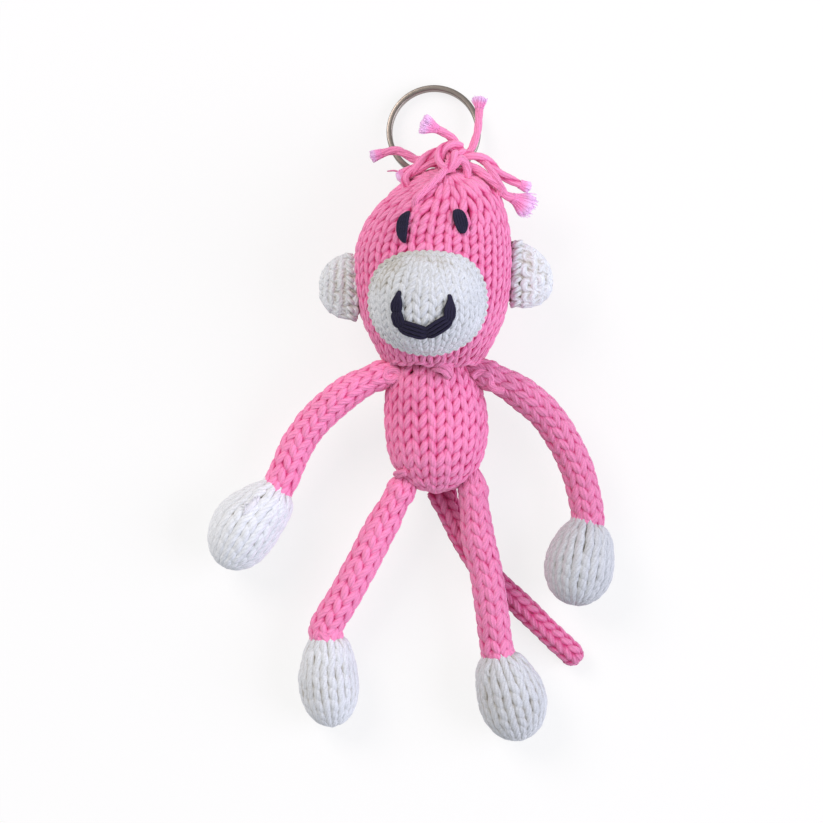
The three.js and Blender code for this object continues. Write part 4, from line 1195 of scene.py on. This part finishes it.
knots = {"neck_knot": {"x": 2.3, "y": -3.1, "wide": 5, "strand": 1.5, "rows": 4, "heading": -24, "lift": 0.9},
         "hip_knot": {"x": -8.6, "y": -29.8, "wide": 3.2, "strand": 1.3, "rows": 2, "heading": 20,
                      "lift": -0.6}}


def knotWraps(one):
    # short arched wraps lying side by side, the outer ones a little shorter and lower
    heading = math.radians(one["heading"])
    s = np.linspace(-1, 1, 24)
    parts = []
    for k in range(one["rows"]):
        off = (k - (one["rows"] - 1) / 2) * one["strand"] * 0.55
        along = s * one["wide"] / 2 * (1 - 0.12 * abs(off))
        aside = off * (1 - 0.5 * s**4) + 0.5 * (1 - s**2)
        x = one["x"] + along * math.cos(heading) - aside * math.sin(heading)
        y = one["y"] + along * math.sin(heading) + aside * math.cos(heading)
        lift = one["lift"] * (1 - s**4) - 0.2 + 1.7 * np.sqrt(1 - s**2 * 0.98) - 0.35 * abs(off)
        line, _ = curve(frontOf(body, bodySurface, x, y, lift), 40)
        parts += twisted(line, one["strand"])
    return parts


for name, one in knots.items():
    makePiece(name + "Yarn", knotWraps(one), pinkYarn, "torso", name)
print("knots ready")


# split ring of flat steel wire, and the loop of yarn that holds it

# from, to and climb are degrees along the wire; facing is how far below +X the loop holds the ring, loopX and
# back place that hold right of the neck and below the crown, height and far are heights above the table
ring = {"outer": 25, "wide": 1.5, "high": 1.15, "gap": 0.15, "round": 0.34, "from": 20, "to": 695,
        "climb": (340, 380), "facing": 70, "loopX": 4.2, "back": 1.2, "height": 5.3, "clear": 0.5,
        "far": 0.15}
holdAngle = math.radians(-ring["facing"])
wireRadius = (ring["outer"] - ring["wide"]) / 2
stack = 2 * ring["high"] + ring["gap"]
hold = np.array([origin[0] + ring["loopX"], crown[1] - ring["back"], ring["height"]])
outward = np.array([math.cos(holdAngle), math.sin(holdAngle), 0])
upward = np.array([0, 0, 1.0])
leanBack = math.asin((ring["height"] - stack / 2 - ring["far"]) / (2 * wireRadius))


def ringWire():
    # a rectangle with rounded corners, carried nearly twice round and lifted from the lower turn to the upper
    across = -np.cross(outward, upward)
    out = outward * math.cos(leanBack) + upward * math.sin(leanBack)
    up = np.cross(out, across)
    w, h, r = ring["wide"] / 2, ring["high"] / 2, ring["round"]
    corner = np.radians(np.linspace(0, 90, 5))
    quarter = np.stack([w - r + r * np.cos(corner), h - r + r * np.sin(corner)], 1)
    half = np.vstack([quarter, (quarter * [-1, 1])[::-1]])
    outline = np.vstack([half, (half * [1, -1])[::-1]])
    degrees = np.arange(ring["from"], ring["to"] + 1, 2.0)
    climb = smooth((degrees - ring["climb"][0]) / (ring["climb"][1] - ring["climb"][0]))
    height = mix(-1, 1, climb) * (ring["high"] + ring["gap"]) / 2
    angle = np.radians(degrees)[:, None, None]
    reach = wireRadius + outline[None, :, :1]
    points = (hold - out * wireRadius + out * np.cos(angle) * reach + across * np.sin(angle) * reach
              + up * (height[:, None, None] + outline[None, :, 1:]))
    return facingOut(capped(points, points[0].mean(0), points[-1].mean(0)))


makePiece("splitRing", [ringWire()], platedSteel, "split_ring", "split_ring")

# front is how high its front end goes above the hold; behind are places of the other end, given as how far
# back over the wire and how high
hanger = {"yarn": 2.2, "slack": 0.2, "front": 5.5, "behind": [[0.2, 4.2], [1.8, 7.8]], "clear": 0.2}


def hangingLoop():
    # half round under the wire, then up: in front of it, and behind, where the loop bows over it; what lies
    # inside the head is left out
    out = ring["wide"] / 2 + ring["clear"] + hanger["yarn"] / 2 + hanger["slack"]
    down = stack / 2 + ring["clear"] + hanger["yarn"] / 2
    under = np.radians([0, 40, 90, 140, 180])
    shape = np.vstack([[[out, hanger["front"]]], np.stack([out * np.cos(under), -down * np.sin(under)], 1),
                       np.array(hanger["behind"]) - [out, 0]])
    line, _ = curve(hold + outward * shape[:, :1] + upward * shape[:, 1:], 90)
    depth, _ = offCover(headCover, line)
    return twisted(line[depth > hanger["clear"]], hanger["yarn"])


makePiece("hangingLoopYarn", hangingLoop(), pinkYarn, "hanging_loop", "hanging_loop")
print("ring and loop ready")


# floor, light and camera

def addFloor():
    # pale laminate: the camera and the ring see it nearly white, and it takes the object's shadow
    material, tree = newMaterial("paleTable")
    shader = addNode(tree, "ShaderNodeBsdfPrincipled", {
        "Base Color": linear("#f4f4f4"), "Roughness": 0.9, "Specular IOR Level": 0.1})
    glow = addNode(tree, "ShaderNodeEmission", {"Color": [1, 1, 1, 1], "Strength": 1.0})
    pale = addNode(tree, "ShaderNodeMixShader", {0: 0.22, 1: glow.outputs[0], 2: shader.outputs[0]})
    ray = addNode(tree, "ShaderNodeLightPath")
    asSeen = addNode(tree, "ShaderNodeMath", {
        0: ray.outputs["Is Camera Ray"], 1: ray.outputs["Is Glossy Ray"]}, operation="MAXIMUM")
    seen = addNode(tree, "ShaderNodeMixShader", {
        0: asSeen.outputs[0], 1: shader.outputs[0], 2: pale.outputs[0]})
    finishMaterial(tree, seen)
    bpy.ops.mesh.primitive_plane_add(size=6)
    floor = bpy.context.object
    floor.name = "table"
    floor.data.materials.append(material)


# places and sizes of the lamps are in metres
lamps = {"windowLeft": {"place": (-0.9, 0.9, 1.2), "size": 0.9, "watts": 17.5, "colour": (1.0, 0.9, 0.84)},
         "fillRight": {"place": (1.2, -0.1, 0.8), "size": 1.2, "watts": 18.5, "colour": (0.88, 0.86, 1.0)}}
sky = {"colour": (0.95, 0.97, 1, 1), "strength": 0.4}
# straight above and far off with a long lens: the frame covers this width at the monkey's height
view = {"width": 216.58, "distance": 1200, "subject": 12, "right": -5.655, "up": -13.286, "sensor": 36}


def addLamp(name, place, size, watts, colour):
    # a soft square lamp that looks at the middle of the table
    lamp = bpy.data.lights.new(name, "AREA")
    lamp.energy = watts
    lamp.size = size
    lamp.color = colour
    shine = bpy.data.objects.new(name, lamp)
    shine.location = place
    shine.rotation_euler = (-Vector(place)).to_track_quat("-Z", "Y").to_euler()
    bpy.context.scene.collection.objects.link(shine)


def addCamera():
    camera = bpy.data.cameras.new("camera")
    camera.sensor_width = view["sensor"]
    camera.lens = view["sensor"] * view["distance"] / view["width"]
    camera.clip_start, camera.clip_end = 0.05, 20
    eye = bpy.data.objects.new("camera", camera)
    eye.location = (origin + [view["right"], view["up"], view["distance"] + view["subject"]]) * mm
    bpy.context.scene.collection.objects.link(eye)
    bpy.context.scene.camera = eye


def addWorld():
    world = bpy.data.worlds.new("studio")
    bpy.context.scene.world = world
    world.use_nodes = True
    background = world.node_tree.nodes["Background"].inputs
    background["Color"].default_value = sky["colour"]
    background["Strength"].default_value = sky["strength"]


addFloor()
for name, one in lamps.items():
    addLamp(name, **one)
addCamera()
addWorld()
bpy.context.scene.view_settings.view_transform = "Standard"
print("stage ready")
